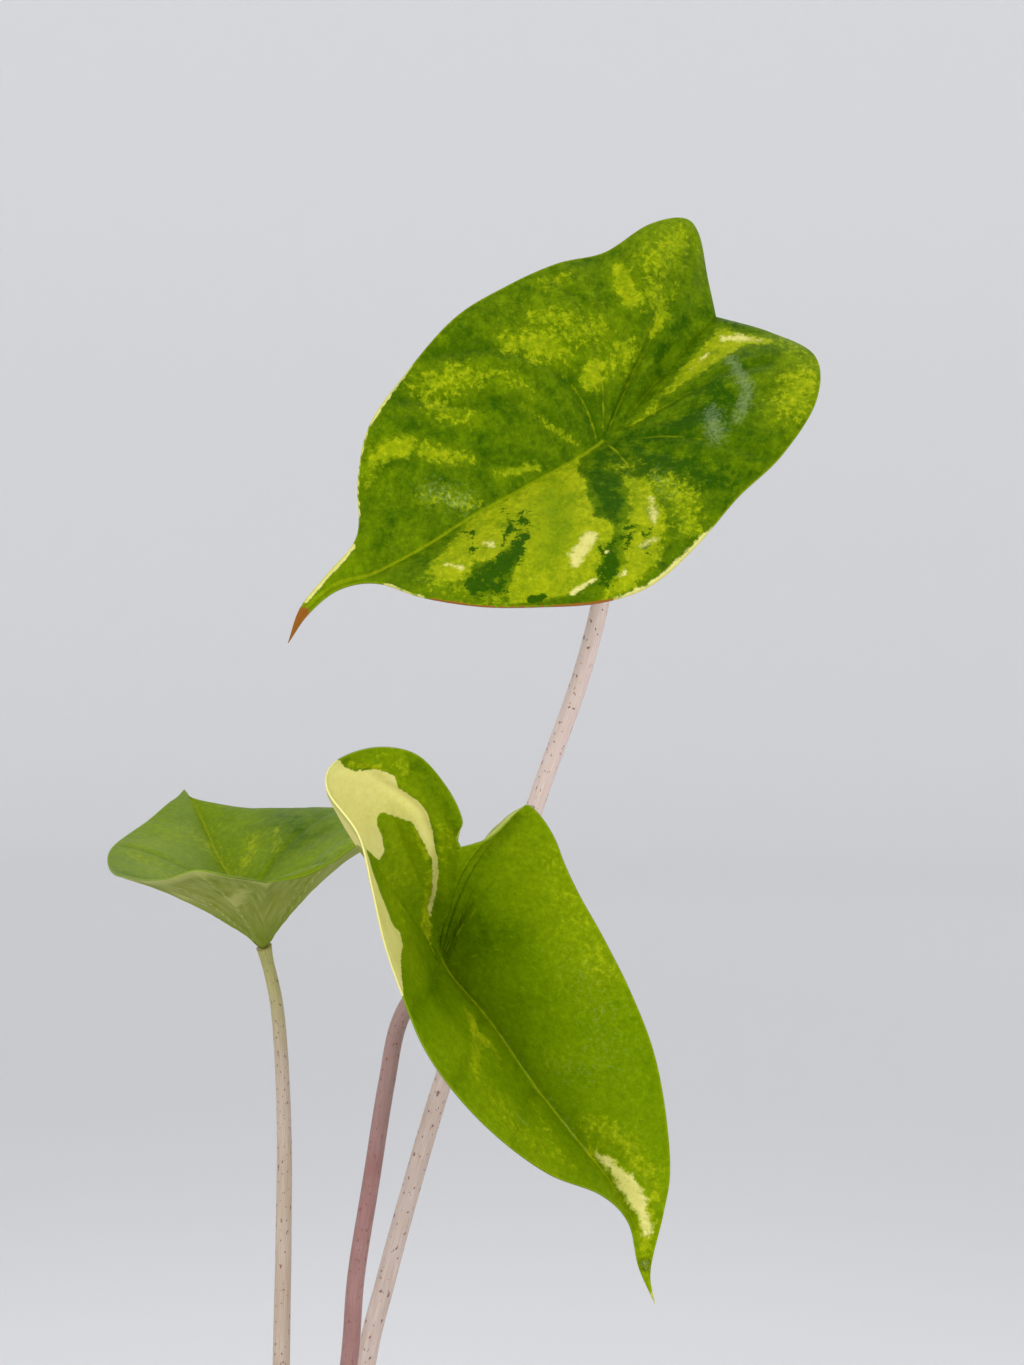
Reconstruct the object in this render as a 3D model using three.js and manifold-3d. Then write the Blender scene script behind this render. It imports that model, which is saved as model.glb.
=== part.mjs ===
// A potted variegated stingray alocasia: three shield-shaped leaves on long stalks in a clay pot.
// Units are millimetres, +Z is up, and the origin is the middle of the pot's underside.
import * as THREE from 'three';
import { mergeVertices } from 'three/addons/utils/BufferGeometryUtils.js';
import Module from 'manifold-3d';

// Driving dimensions.
const GAP = 0.3; // clearance kept between pieces that touch
const POT = {
  height: 90, baseRadius: 38, rimRadius: 56, wall: 5, floor: 7, band: 20, bandStep: 2.5,
  edge: 1.5, lip: 2.5, cove: 4, sides: 48,
};
const DRAIN = { count: 3, radius: 3.5, circle: 22, sides: 16 };
const SOIL = { top: 73, lump: 0.85, fall: 0.03, rings: 8 };
const CORM = { radius: 9.5, foot: 58, top: 76, ringStep: 4, groove: 0.7, round: 3, sides: 28 };
const BLADE = { thickness: 0.8, rib: 1.1, ribReach: 85, steps: 3, rings: 6 };
const STALK = { sides: 12, steps: 26, sheathHeight: 62, sheathWidth: 5.2, sheathWall: 0.9, sheathWrap: 6.5 };

// A leaf is ruled from its axis to its rim. The axis runs from the tail's tip along the midrib to the
// joint with the stalk, and on over the joined lobes to the notch. Each row gives a station on the axis,
// counted in axis points, and the rim on either side of it.
const LEAVES = {
  top: {
    up: [0, -0.8, 0.6],
    arch: [0.05, 0.05],
    bow: 0.07,
    quilt: 0.022,
    ribRow: 12,
    jointStation: 7,
    tailRoot: 3,
    axis: [
      [0, -42, 335], [4, -42, 342.5], [11, -40, 348.5], [20, -38, 351], [32, -33, 357],
      [45, -26, 365], [60, -19, 373], [75, -12, 382], [89, -2, 397], [104, 8, 413],
    ],
    rows: [
      [0, [0, -42, 335], [0, -42, 335]],
      [1, [5, -43, 342], [3, -42, 343.5]],
      [2, [12, -41, 347.5], [9, -39, 351]],
      [3, [21, -40, 349], [16, -35, 360]],
      [3.8, [32, -46, 346], [16, -30, 373]],
      [4.6, [46, -49, 344], [18.5, -25, 386]],
      [5.4, [60, -50, 344], [26.5, -17, 398]],
      [6.2, [74, -50, 345], [38.5, -9, 412]],
      [6.8, [86, -47, 349], [51, -3, 420]],
      [7, [97, -39, 358], [64, 3, 426]],
      [7, [107, -32, 369], [76, 8, 429]],
      [7, [118, -26, 379], [87, 12, 436]],
      [7, [127, -17, 392], [96, 16, 438]],
      [7.4, [127.5, -7, 403], [100, 16, 434]],
      [8.1, [117, 1, 409], [102, 12, 423]],
      [9, [104, 8, 413], [104, 8, 413]],
    ],
  },
  front: {
    up: [-0.2, -0.95, 0.2],
    arch: [0.06, 0.06],
    bow: 0.07,
    quilt: 0.022,
    ribRow: 12,
    jointStation: 7,
    tailRoot: 3,
    axis: [
      [87, -52, 178], [85, -51, 187], [82, -50, 197], [76, -48, 207], [67, -45, 218],
      [58, -42, 229], [48, -38, 243], [36, -34, 258], [39, -46, 274], [41, -58, 288.5],
    ],
    rows: [
      [0, [87, -52, 178], [87, -52, 178]],
      [1, [86, -51, 186], [83, -51, 187]],
      [2, [89, -52, 200], [80.5, -52, 198]],
      [2.8, [90.5, -53, 211], [74, -56, 205.5]],
      [3.6, [89, -55, 227], [62, -63, 212]],
      [4.4, [86, -56, 241], [51, -68, 221]],
      [5.2, [80.5, -57, 255], [41, -72, 232]],
      [6.1, [74, -58, 268], [33, -74, 244]],
      [6.8, [69, -59, 277], [27.7, -74, 257]],
      [7, [65.5, -60, 284.5], [23.8, -75, 269]],
      [7, [63, -61, 291], [21, -76, 282]],
      [7, [60, -62, 296], [18, -76, 294]],
      [7, [57, -63, 299], [11, -75, 304]],
      [7.2, [55, -62.5, 298], [12.5, -72, 310]],
      [7.5, [52, -61.5, 295], [21.5, -68, 313]],
      [7.9, [49.5, -61, 292.5], [31, -64.5, 311]],
      [8.3, [47, -60, 290.5], [38, -62, 303]],
      [8.6, [44.5, -59, 289.5], [41.5, -60, 295]],
      [8.8, [43, -58.5, 289], [40, -59, 291.5]],
      [9, [41, -58, 288.5], [41, -58, 288.5]],
    ],
  },
  back: {
    up: [0, -0.1, 1],
    arch: [0.07, 0.14],
    bow: 0.06,
    quilt: 0.022,
    ribRow: 12,
    jointStation: 7,
    tailRoot: 3,
    axis: [
      [-41, 115, 281], [-39, 108, 280], [-36, 100, 277], [-32, 89, 272], [-28, 76, 267],
      [-23, 63, 262], [-18, 48, 257], [-12, 29, 251], [-10, 8, 264], [-8, -10, 273],
    ],
    rows: [
      [0, [-41, 115, 281], [-41, 115, 281]],
      [1, [-42, 106, 280], [-39, 107, 280]],
      [2, [-44, 97, 279], [-32, 101, 279]],
      [3, [-48, 84, 276], [-20, 95, 278]],
      [4, [-52, 69, 274], [-6, 88, 279]],
      [5, [-54, 55, 273], [8, 79, 280]],
      [5.8, [-54, 42, 272], [18, 65, 280]],
      [6.6, [-52, 29, 271], [23, 49, 280]],
      [7, [-49, 17, 271], [25, 33, 280]],
      [7, [-45, 6, 272], [25, 16, 282]],
      [7, [-39, -6, 273], [23, 2, 284]],
      [7, [-32, -17, 275], [17, -11, 284]],
      [7, [-24, -23, 278], [9, -16, 279]],
      [7.9, [-16, -21, 276], [1, -15, 275]],
      [9, [-8, -10, 273], [-8, -10, 273]],
    ],
  },
};

// A stalk's route runs from the corm to just short of its blade; radii are given foot to tip.
const STALKS = {
  top: {
    leaf: 'top',
    radii: [2.9, 2.5, 2.35, 2.2],
    route: [
      [5.8, 4, 76], [10.6, 5.2, 108], [15.3, 8, 145], [20.6, 10, 167], [27.5, 12, 192], [35, 14, 217],
      [47, 14, 254], [60.5, 12, 294], [71, 6, 325], [77, -1, 352], [78, -5, 369],
    ],
  },
  front: {
    leaf: 'front',
    radii: [2.7, 2.3, 2.15, 2],
    route: [
      [1.5, -7.2, 76], [6.8, -8.6, 112], [12, -10, 151], [14, -13, 174], [18, -16, 199], [22, -20, 224],
      [26, -24, 242],
    ],
  },
  back: {
    leaf: 'back',
    radii: [2.7, 2.3, 2, 1.6],
    route: [
      [-6.6, 2.2, 76], [-7, 8, 112], [-6.7, 14, 148], [-6.3, 18, 176], [-6.3, 22, 205], [-8, 26, 233],
    ],
  },
};

const COLOURS = {
  pot: 0xb9714c,
  soil: 0x4a382b,
  corm: 0x8a6a4a,
  petiole_top: 0xcdb4a4,
  petiole_front: 0xa9808c,
  petiole_back: 0xc4bfa0,
  blade_top: 0x6f9a3c,
  blade_front: 0x7ba05a,
  blade_back: 0x55803c,
};

const wasm = await Module();
wasm.setup();

const vector = (point) => new THREE.Vector3(...point);
const smooth = (x) => x * x * (3 - 2 * x);
const curveThrough = (points) => new THREE.CatmullRomCurve3(points.map(vector), false, 'catmullrom', 0.5);

// Turns shared vertices and triangles into a geometry, leaving out the triangles with no area.
function geometryOf(vertices, triangles) {
  const geometry = new THREE.BufferGeometry();
  const numbers = vertices.flatMap((vertex) => vertex.toArray());
  const whole = triangles.filter(([a, b, c]) => a !== b && b !== c && c !== a);
  geometry.setAttribute('position', new THREE.Float32BufferAttribute(numbers, 3));
  geometry.setIndex(whole.flat());
  return geometry;
}

function solidOf(geometry) {
  const bare = geometry.clone();
  bare.deleteAttribute('normal');
  bare.deleteAttribute('uv');
  const merged = mergeVertices(bare, 1e-4);
  return new wasm.Manifold(
    new wasm.Mesh({
      numProp: 3,
      vertProperties: new Float32Array(merged.attributes.position.array),
      triVerts: new Uint32Array(merged.index.array),
    }),
  );
}

function geometryFromSolid(solid) {
  const mesh = solid.getMesh();
  const geometry = new THREE.BufferGeometry();
  geometry.setAttribute('position', new THREE.BufferAttribute(new Float32Array(mesh.vertProperties), 3));
  geometry.setIndex(new THREE.BufferAttribute(new Uint32Array(mesh.triVerts), 1));
  return geometry;
}

// A turned body about Z from [radius, height] pairs that start and end on the axis.
function turned(profile, sides) {
  const geometry = new THREE.LatheGeometry(profile.map(([r, z]) => new THREE.Vector2(r, z)), sides);
  return geometry.rotateX(Math.PI / 2);
}

// Side faces between closed rings of vertices that follow each other in the list.
function ringFaces(sides, rings) {
  const faces = [];
  for (let r = 0; r < rings - 1; r++) {
    for (let k = 0; k < sides; k++) {
      const a = r * sides + k;
      const b = r * sides + ((k + 1) % sides);
      faces.push([a, b, b + sides], [a, b + sides, a + sides]);
    }
  }
  return faces;
}

// A fan that closes a ring at one end; reversed where the end faces the other way.
function capFaces(sides, ring, middle, reversed) {
  const faces = [];
  for (let k = 0; k < sides; k++) {
    const a = ring * sides + k;
    const b = ring * sides + ((k + 1) % sides);
    faces.push(reversed ? [middle, b, a] : [middle, a, b]);
  }
  return faces;
}

function potInnerRadius(z) {
  const outer = THREE.MathUtils.lerp(POT.baseRadius, POT.rimRadius - POT.bandStep, z / POT.height);
  return outer - POT.wall;
}

// Clay pot: tapered wall, a stepped band round the rim, and round drain holes beside the middle.
function potGeometry() {
  const { height, baseRadius, rimRadius, band, bandStep, edge, lip, cove, floor, sides } = POT;
  const bandFoot = height - band;
  const underBand = potInnerRadius(bandFoot) + POT.wall;
  const profile = [
    [0, 0],
    [baseRadius - edge, 0],
    [baseRadius, edge],
    [underBand, bandFoot],
    [underBand + bandStep, bandFoot + edge],
    [rimRadius, height - lip],
    [rimRadius - lip / 3, height - lip / 3],
    [rimRadius - lip, height],
    [potInnerRadius(height) + lip / 2, height - lip / 4],
    [potInnerRadius(height), height - lip],
    [potInnerRadius(floor + cove), floor + cove],
    [potInnerRadius(floor) - cove, floor],
    [0, floor],
  ];
  let pot = solidOf(turned(profile, sides));
  for (let i = 0; i < DRAIN.count; i++) {
    const angle = (i / DRAIN.count + 0.25) * 2 * Math.PI;
    const drill = new THREE.CylinderGeometry(DRAIN.radius, DRAIN.radius, floor * 3, DRAIN.sides);
    drill.rotateX(Math.PI / 2);
    drill.translate(DRAIN.circle * Math.cos(angle), DRAIN.circle * Math.sin(angle), floor / 2);
    pot = pot.subtract(solidOf(drill));
  }
  return geometryFromSolid(pot);
}

// Height of the soil's crumbly surface: low lumps, falling a little towards the pot's wall.
function soilHeight(x, y) {
  const broad = Math.sin(x * 0.31 + 1.3) * Math.cos(y * 0.27 - 0.6);
  const fine = 0.5 * Math.sin(x * 0.55 - y * 0.47);
  return SOIL.top + SOIL.lump * (broad + fine) - SOIL.fall * Math.hypot(x, y);
}

// Potting mix: fills the pot, with a plain hole for the corm.
function soilGeometry() {
  const { sides, cove } = POT;
  const wallGap = GAP * 1.5;
  const holeRadius = CORM.radius + GAP;
  const foot = POT.floor + GAP;
  const reach = potInnerRadius(SOIL.top) - wallGap - holeRadius;
  const vertices = [];
  const addRing = (radius, height) => {
    for (let k = 0; k < sides; k++) {
      const angle = (k / sides) * 2 * Math.PI;
      const x = radius * Math.cos(angle);
      const y = radius * Math.sin(angle);
      vertices.push(new THREE.Vector3(x, y, height ?? soilHeight(x, y)));
    }
  };
  addRing(potInnerRadius(foot) - cove - wallGap, foot);
  addRing(potInnerRadius(foot + cove) - wallGap, foot + cove);
  for (let i = SOIL.rings; i >= 0; i--) {
    addRing(holeRadius + (reach * i) / SOIL.rings);
  }
  addRing(holeRadius, CORM.foot - GAP);
  const rings = vertices.length / sides;
  const bottom = vertices.push(new THREE.Vector3(0, 0, foot)) - 1;
  const holeFloor = vertices.push(new THREE.Vector3(0, 0, CORM.foot - GAP)) - 1;
  const faces = ringFaces(sides, rings);
  faces.push(...capFaces(sides, 0, bottom, true), ...capFaces(sides, rings - 1, holeFloor, false));
  return geometryOf(vertices, faces);
}

// Stem base: a stout stub with ring scars, flat on top where the sheaths stand.
function cormGeometry() {
  const { radius, foot, top, ringStep, groove, round, sides } = CORM;
  const profile = [[0, foot], [radius - round, foot]];
  for (let z = foot + round; z < top - ringStep / 2; z += ringStep) {
    profile.push([radius, z], [radius, z + ringStep * 0.6], [radius - groove, z + ringStep * 0.8]);
  }
  profile.push([radius - groove, top], [0, top]);
  return turned(profile, sides);
}

// The smooth curves that carry one leaf.
function leafCurves(leaf) {
  const joint = vector(leaf.axis[leaf.jointStation]);
  return {
    joint,
    up: vector(leaf.up).normalize(),
    axis: curveThrough(leaf.axis),
    rims: [1, 2].map((column) => curveThrough(leaf.rows.map((row) => row[column]))),
    tailward: vector(leaf.axis[leaf.tailRoot]).sub(joint).normalize(),
  };
}

// Position on the leaf: row runs from the tail's tip to the notch, s from the axis to one rim.
// The rays bow back from the tail as veins do, arch between axis and rim, and pillow between veins,
// which lie on the even rows.
function leafPoint(leaf, curves, side, row, s) {
  const lastRow = leaf.rows.length - 1;
  const before = Math.min(Math.floor(row), lastRow - 1);
  const station = THREE.MathUtils.lerp(leaf.rows[before][0], leaf.rows[before + 1][0], row - before);
  const middle = curves.axis.getPoint(station / (leaf.axis.length - 1));
  const rim = curves.rims[side].getPoint(row / lastRow);
  const swell = 4 * s * (1 - s) * middle.distanceTo(rim);
  const pillow = leaf.quilt * Math.abs(Math.sin((row * Math.PI) / 2));
  return middle
    .lerp(rim, s)
    .addScaledVector(curves.up, swell * (leaf.arch[side] + pillow))
    .addScaledVector(curves.tailward, -swell * leaf.bow);
}

// Middle surface of a blade: shared vertices, triangles that face up, normals, and the height of the
// ribs under each vertex. The midrib and one rib to each lobe fade out away from the joint.
function leafSurface(leaf) {
  const curves = leafCurves(leaf);
  const columns = (leaf.rows.length - 1) * BLADE.steps;
  const vertices = [];
  const ribs = [];
  const known = new Map();
  const keyOf = (point) => point.toArray().map((value) => Math.round(value * 1e4)).join();
  const vertexAt = (side, i, j) => {
    const row = i / BLADE.steps;
    const point = leafPoint(leaf, curves, side, row, j / BLADE.rings);
    const key = keyOf(point);
    if (!known.has(key)) {
      known.set(key, vertices.push(point) - 1);
      const fade = Math.max(0, 1 - point.distanceTo(curves.joint) / BLADE.ribReach);
      const onRib = j === 0 || (row === leaf.ribRow && j < BLADE.rings);
      ribs.push(onRib ? BLADE.rib * fade : 0);
    }
    return known.get(key);
  };
  const triangles = [];
  for (const side of [0, 1]) {
    for (let i = 0; i < columns; i++) {
      for (let j = 0; j < BLADE.rings; j++) {
        const a = vertexAt(side, i, j);
        const b = vertexAt(side, i + 1, j);
        const c = vertexAt(side, i + 1, j + 1);
        const d = vertexAt(side, i, j + 1);
        triangles.push(...(side === 0 ? [[a, c, b], [a, d, c]] : [[a, b, c], [a, c, d]]));
      }
    }
  }
  const whole = triangles.filter(([a, b, c]) => a !== b && b !== c && c !== a);
  const sheet = geometryOf(vertices, whole);
  sheet.computeVertexNormals();
  const slopes = sheet.attributes.normal;
  const normals = vertices.map((_, i) => new THREE.Vector3().fromBufferAttribute(slopes, i));
  return { vertices, triangles: whole, normals, ribs, joint: known.get(keyOf(curves.joint)) };
}

// Closed blade: the middle surface thickened both ways, with the ribs raised on the underside.
function bladeGeometry({ vertices, triangles, normals, ribs }) {
  const half = BLADE.thickness / 2;
  const count = vertices.length;
  const upper = vertices.map((v, i) => v.clone().addScaledVector(normals[i], half));
  const lower = vertices.map((v, i) => v.clone().addScaledVector(normals[i], -half - ribs[i]));
  const rim = new Map();
  for (const [a, b, c] of triangles) {
    for (const [p, q] of [[a, b], [b, c], [c, a]]) {
      if (!rim.delete(`${q},${p}`)) {
        rim.set(`${p},${q}`, [p, q]);
      }
    }
  }
  const faces = triangles.flatMap(([a, b, c]) => [[a, b, c], [a + count, c + count, b + count]]);
  for (const [p, q] of rim.values()) {
    faces.push([p, p + count, q + count], [p, q + count, q]);
  }
  return geometryOf([...upper, ...lower], faces);
}

// Closed stalk: round above, opening below into a sheath that wraps the plant's middle. Its foot is
// level on the corm, and its tip is cut parallel to the blade and stops just under the ribs.
function stalkGeometry(stalk, surface) {
  const { sides, steps, sheathHeight, sheathWidth, sheathWall, sheathWrap } = STALK;
  const blade = surface.normals[surface.joint];
  const drop = BLADE.thickness / 2 + BLADE.rib + GAP;
  const tip = surface.vertices[surface.joint].clone().addScaledVector(blade, -drop);
  const curve = curveThrough([...stalk.route, tip.toArray()]);
  const outward = vector(stalk.route[0]).setZ(0).normalize();
  const radii = new THREE.SplineCurve(stalk.radii.map((radius, i) => new THREE.Vector2(i, radius)));
  const foot = CORM.top + GAP;
  const vertices = [];
  for (let i = 0; i <= steps; i++) {
    const centre = curve.getPointAt(i / steps);
    const along = curve.getTangentAt(i / steps);
    if (i === 0) {
      along.set(0, 0, 1);
      centre.z = foot;
    }
    if (i === steps) {
      along.copy(blade);
    }
    const across = along.clone().cross(outward).normalize();
    const radial = across.clone().cross(along);
    const radius = radii.getPoint(i / steps).y;
    const sheath = smooth(THREE.MathUtils.clamp(1 - (centre.z - foot) / sheathHeight, 0, 1));
    for (let k = 0; k < sides; k++) {
      const angle = (k / sides) * 2 * Math.PI;
      const width = THREE.MathUtils.lerp(radius, sheathWidth, sheath) * Math.sin(angle);
      const depth = THREE.MathUtils.lerp(radius, sheathWall, sheath) * Math.cos(angle);
      const wrap = (sheath * width * width) / (2 * sheathWrap);
      vertices.push(centre.clone().addScaledVector(across, width).addScaledVector(radial, depth - wrap));
    }
  }
  const middleOf = (ring) => {
    const sum = new THREE.Vector3();
    vertices.slice(ring * sides, (ring + 1) * sides).forEach((vertex) => sum.add(vertex));
    return sum.divideScalar(sides);
  };
  const start = vertices.push(middleOf(0)) - 1;
  const end = vertices.push(middleOf(steps)) - 1;
  const faces = ringFaces(sides, steps + 1);
  faces.push(...capFaces(sides, 0, start, true), ...capFaces(sides, steps, end, false));
  return geometryOf(vertices, faces);
}

const plant = new THREE.Group();

function add(name, geometry, roughness) {
  const material = new THREE.MeshStandardMaterial({ color: COLOURS[name], roughness, metalness: 0 });
  const mesh = new THREE.Mesh(geometry, material);
  mesh.name = name;
  plant.add(mesh);
}

add('pot', potGeometry(), 0.85);
add('soil', soilGeometry(), 0.95);
add('corm', cormGeometry(), 0.8);
for (const [name, leaf] of Object.entries(LEAVES)) {
  const surface = leafSurface(leaf);
  add(`blade_${name}`, bladeGeometry(surface), 0.4);
  add(`petiole_${name}`, stalkGeometry(STALKS[name], surface), 0.5);
}

export default plant;
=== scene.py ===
"""Potted variegated stingray alocasia: the finish of every piece, its stage, lamps and camera."""

import math
import random

import bmesh
import bpy
import numpy as np
from bpy.props import FloatProperty, FloatVectorProperty, IntProperty, PointerProperty
from bpy.types import Operator, Panel, PropertyGroup
from mathutils import Euler, Matrix, Vector, noise


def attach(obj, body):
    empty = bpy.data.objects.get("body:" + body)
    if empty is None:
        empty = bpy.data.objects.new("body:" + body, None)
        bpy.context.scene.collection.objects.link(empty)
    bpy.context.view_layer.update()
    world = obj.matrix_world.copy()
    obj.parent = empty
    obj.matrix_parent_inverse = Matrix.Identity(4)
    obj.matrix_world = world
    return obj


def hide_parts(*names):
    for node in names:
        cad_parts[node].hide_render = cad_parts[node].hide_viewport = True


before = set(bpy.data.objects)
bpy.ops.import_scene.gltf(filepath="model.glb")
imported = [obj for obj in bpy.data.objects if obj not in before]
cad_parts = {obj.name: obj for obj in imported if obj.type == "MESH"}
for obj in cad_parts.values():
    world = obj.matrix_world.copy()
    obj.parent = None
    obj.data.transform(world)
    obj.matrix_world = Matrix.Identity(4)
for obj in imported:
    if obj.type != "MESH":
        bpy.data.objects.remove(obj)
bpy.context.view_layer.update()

bl_info = {
    "name": "Potted Variegated Stingray Alocasia",
    "version": (1, 0, 0),
    "blender": (4, 5, 0),
    "location": "View3D > Sidebar > Alocasia",
    "description": "Builds a potted alocasia with marbled leaves around its packed frame",
    "category": "Add Mesh",
}

MM = 0.001
SAME_SPOT = 0.002  # Points closer than this, in mm, are one point.
BLACK = (0, 0, 0, 1)
WHITE = (1, 1, 1, 1)

# Driving sizes in millimetres, as in the part's source, with counts and shares beside them.
POT = {
    "height": 90, "base_radius": 38, "rim_radius": 56, "wall": 5, "floor": 7, "band": 20, "band_step": 2.5,
    "edge": 1.5, "lip": 2.5, "cove": 4,
}
DRAIN = {"count": 3, "radius": 3.5, "circle": 22, "turn": 0.25, "sides": 48}
SHARP = 50  # Edges of the pot that turn by more degrees than this stay sharp.
SOIL = {"top": 73, "lump": 0.85, "fall": 0.03, "wall_gap": 0.45, "rings": 44, "tone": 0.7}
# Lumps of the soil: waves in radians per mm and their start along x and y, then a share and the waves of
# finer ones.
LUMPS = {"broad": ((0.31, 1.3), (0.27, -0.6)), "fine": (0.5, 0.55, -0.47)}
# Crumbs of the soil's surface: height in mm, layer of the noise and waves per mm.
CRUMBS = ((0.55, 0, 0.45), (0.35, 5, 1.2))
CORM = {
    "radius": 9.5, "foot": 58, "top": 76, "round": 3,
    "ring_step": 4, "groove": 0.7, "land": 0.6, "slope": 0.8,
}
STALK = {"sheath_height": 62, "sheath_width": 5.2, "sheath_wall": 0.9, "sheath_wrap": 6.5}
# Air between neighbouring solids.
GAP = 0.3

# A leaf is ruled from its axis, which runs from the tail's tip over the joint with the stalk to the
# notch, to its rim. A row gives a station on the axis and the rim on side 0 and on side 1 of it.
LEAVES = {
    "top": {
        "up": (0, -0.8, 0.6), "arch": (0.05, 0.05), "bow": 0.07,
        "axis": [
            (0, -42, 335), (4, -42, 342.5), (11, -40, 348.5), (20, -38, 351), (32, -33, 357),
            (45, -26, 365), (60, -19, 373), (75, -12, 382), (89, -2, 397), (104, 8, 413),
        ],
        "rows": [
            (0, (0, -42, 335), (0, -42, 335)),
            (1, (5, -43, 342), (3, -42, 343.5)),
            (2, (12, -41, 347.5), (9, -39, 351)),
            (3, (21, -40, 349), (16, -35, 360)),
            (3.8, (32, -46, 346), (16, -30, 373)),
            (4.6, (46, -49, 344), (18.5, -25, 386)),
            (5.4, (60, -50, 344), (26.5, -17, 398)),
            (6.2, (74, -50, 345), (38.5, -9, 412)),
            (6.8, (86, -47, 349), (51, -3, 420)),
            (7, (97, -39, 358), (64, 3, 426)),
            (7, (107, -32, 369), (76, 8, 429)),
            (7, (118, -26, 379), (87, 12, 436)),
            (7, (127, -17, 392), (96, 16, 438)),
            (7.4, (127.5, -7, 403), (100, 16, 434)),
            (8.1, (117, 1, 409), (102, 12, 423)),
            (9, (104, 8, 413), (104, 8, 413)),
        ],
    },
    "front": {
        "up": (-0.2, -0.95, 0.2), "arch": (0.06, 0.06), "bow": 0.07,
        "axis": [
            (87, -52, 178), (85, -51, 187), (82, -50, 197), (76, -48, 207), (67, -45, 218),
            (58, -42, 229), (48, -38, 243), (36, -34, 258), (39, -46, 274), (41, -58, 288.5),
        ],
        "rows": [
            (0, (87, -52, 178), (87, -52, 178)),
            (1, (86, -51, 186), (83, -51, 187)),
            (2, (89, -52, 200), (80.5, -52, 198)),
            (2.8, (90.5, -53, 211), (74, -56, 205.5)),
            (3.6, (89, -55, 227), (62, -63, 212)),
            (4.4, (86, -56, 241), (51, -68, 221)),
            (5.2, (80.5, -57, 255), (41, -72, 232)),
            (6.1, (74, -58, 268), (33, -74, 244)),
            (6.8, (69, -59, 277), (27.7, -74, 257)),
            (7, (65.5, -60, 284.5), (23.8, -75, 269)),
            (7, (63, -61, 291), (21, -76, 282)),
            (7, (60, -62, 296), (18, -76, 294)),
            (7, (57, -63, 299), (11, -75, 304)),
            (7.2, (55, -62.5, 298), (12.5, -72, 310)),
            (7.5, (52, -61.5, 295), (21.5, -68, 313)),
            (7.9, (49.5, -61, 292.5), (31, -64.5, 311)),
            (8.3, (47, -60, 290.5), (38, -62, 303)),
            (8.6, (44.5, -59, 289.5), (41.5, -60, 295)),
            (8.8, (43, -58.5, 289), (40, -59, 291.5)),
            (9, (41, -58, 288.5), (41, -58, 288.5)),
        ],
    },
    "back": {
        "up": (0, -0.1, 1), "arch": (0.07, 0.14), "bow": 0.06,
        "axis": [
            (-41, 115, 281), (-39, 108, 280), (-36, 100, 277), (-32, 89, 272), (-28, 76, 267),
            (-23, 63, 262), (-18, 48, 257), (-12, 29, 251), (-10, 8, 264), (-8, -10, 273),
        ],
        "rows": [
            (0, (-41, 115, 281), (-41, 115, 281)),
            (1, (-42, 106, 280), (-39, 107, 280)),
            (2, (-44, 97, 279), (-32, 101, 279)),
            (3, (-48, 84, 276), (-20, 95, 278)),
            (4, (-52, 69, 274), (-6, 88, 279)),
            (5, (-54, 55, 273), (8, 79, 280)),
            (5.8, (-54, 42, 272), (18, 65, 280)),
            (6.6, (-52, 29, 271), (23, 49, 280)),
            (7, (-49, 17, 271), (25, 33, 280)),
            (7, (-45, 6, 272), (25, 16, 282)),
            (7, (-39, -6, 273), (23, 2, 284)),
            (7, (-32, -17, 275), (17, -11, 284)),
            (7, (-24, -23, 278), (9, -16, 279)),
            (7.9, (-16, -21, 276), (1, -15, 275)),
            (9, (-8, -10, 273), (-8, -10, 273)),
        ],
    },
}
# Swell between the side veins as a share of the half width, the row of the lobes' ribs, and the stations
# of the joint and of the tail's root.
QUILT = 0.022
RIB_ROW = 12
JOINT_STATION = 7
TAIL_ROOT = 3

# Stalks: radii foot to tip, and the route from the stem base to just short of the blade.
STALKS = {
    "top": {
        "radii": (2.9, 2.5, 2.35, 2.2),
        "route": [
            (5.8, 4, 76), (10.6, 5.2, 108), (15.3, 8, 145), (20.6, 10, 167), (27.5, 12, 192), (35, 14, 217),
            (47, 14, 254), (60.5, 12, 294), (71, 6, 325), (77, -1, 352), (78, -5, 369),
        ],
    },
    "front": {
        "radii": (2.7, 2.3, 2.15, 2),
        "route": [
            (1.5, -7.2, 76), (6.8, -8.6, 112), (12, -10, 151), (14, -13, 174), (18, -16, 199),
            (22, -20, 224), (26, -24, 242),
        ],
    },
    "back": {
        "radii": (2.7, 2.3, 2, 1.6),
        "route": [
            (-6.6, 2.2, 76), (-7, 8, 112), (-6.7, 14, 148), (-6.3, 18, 176), (-6.3, 22, 205), (-8, 26, 233),
        ],
    },
}

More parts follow.
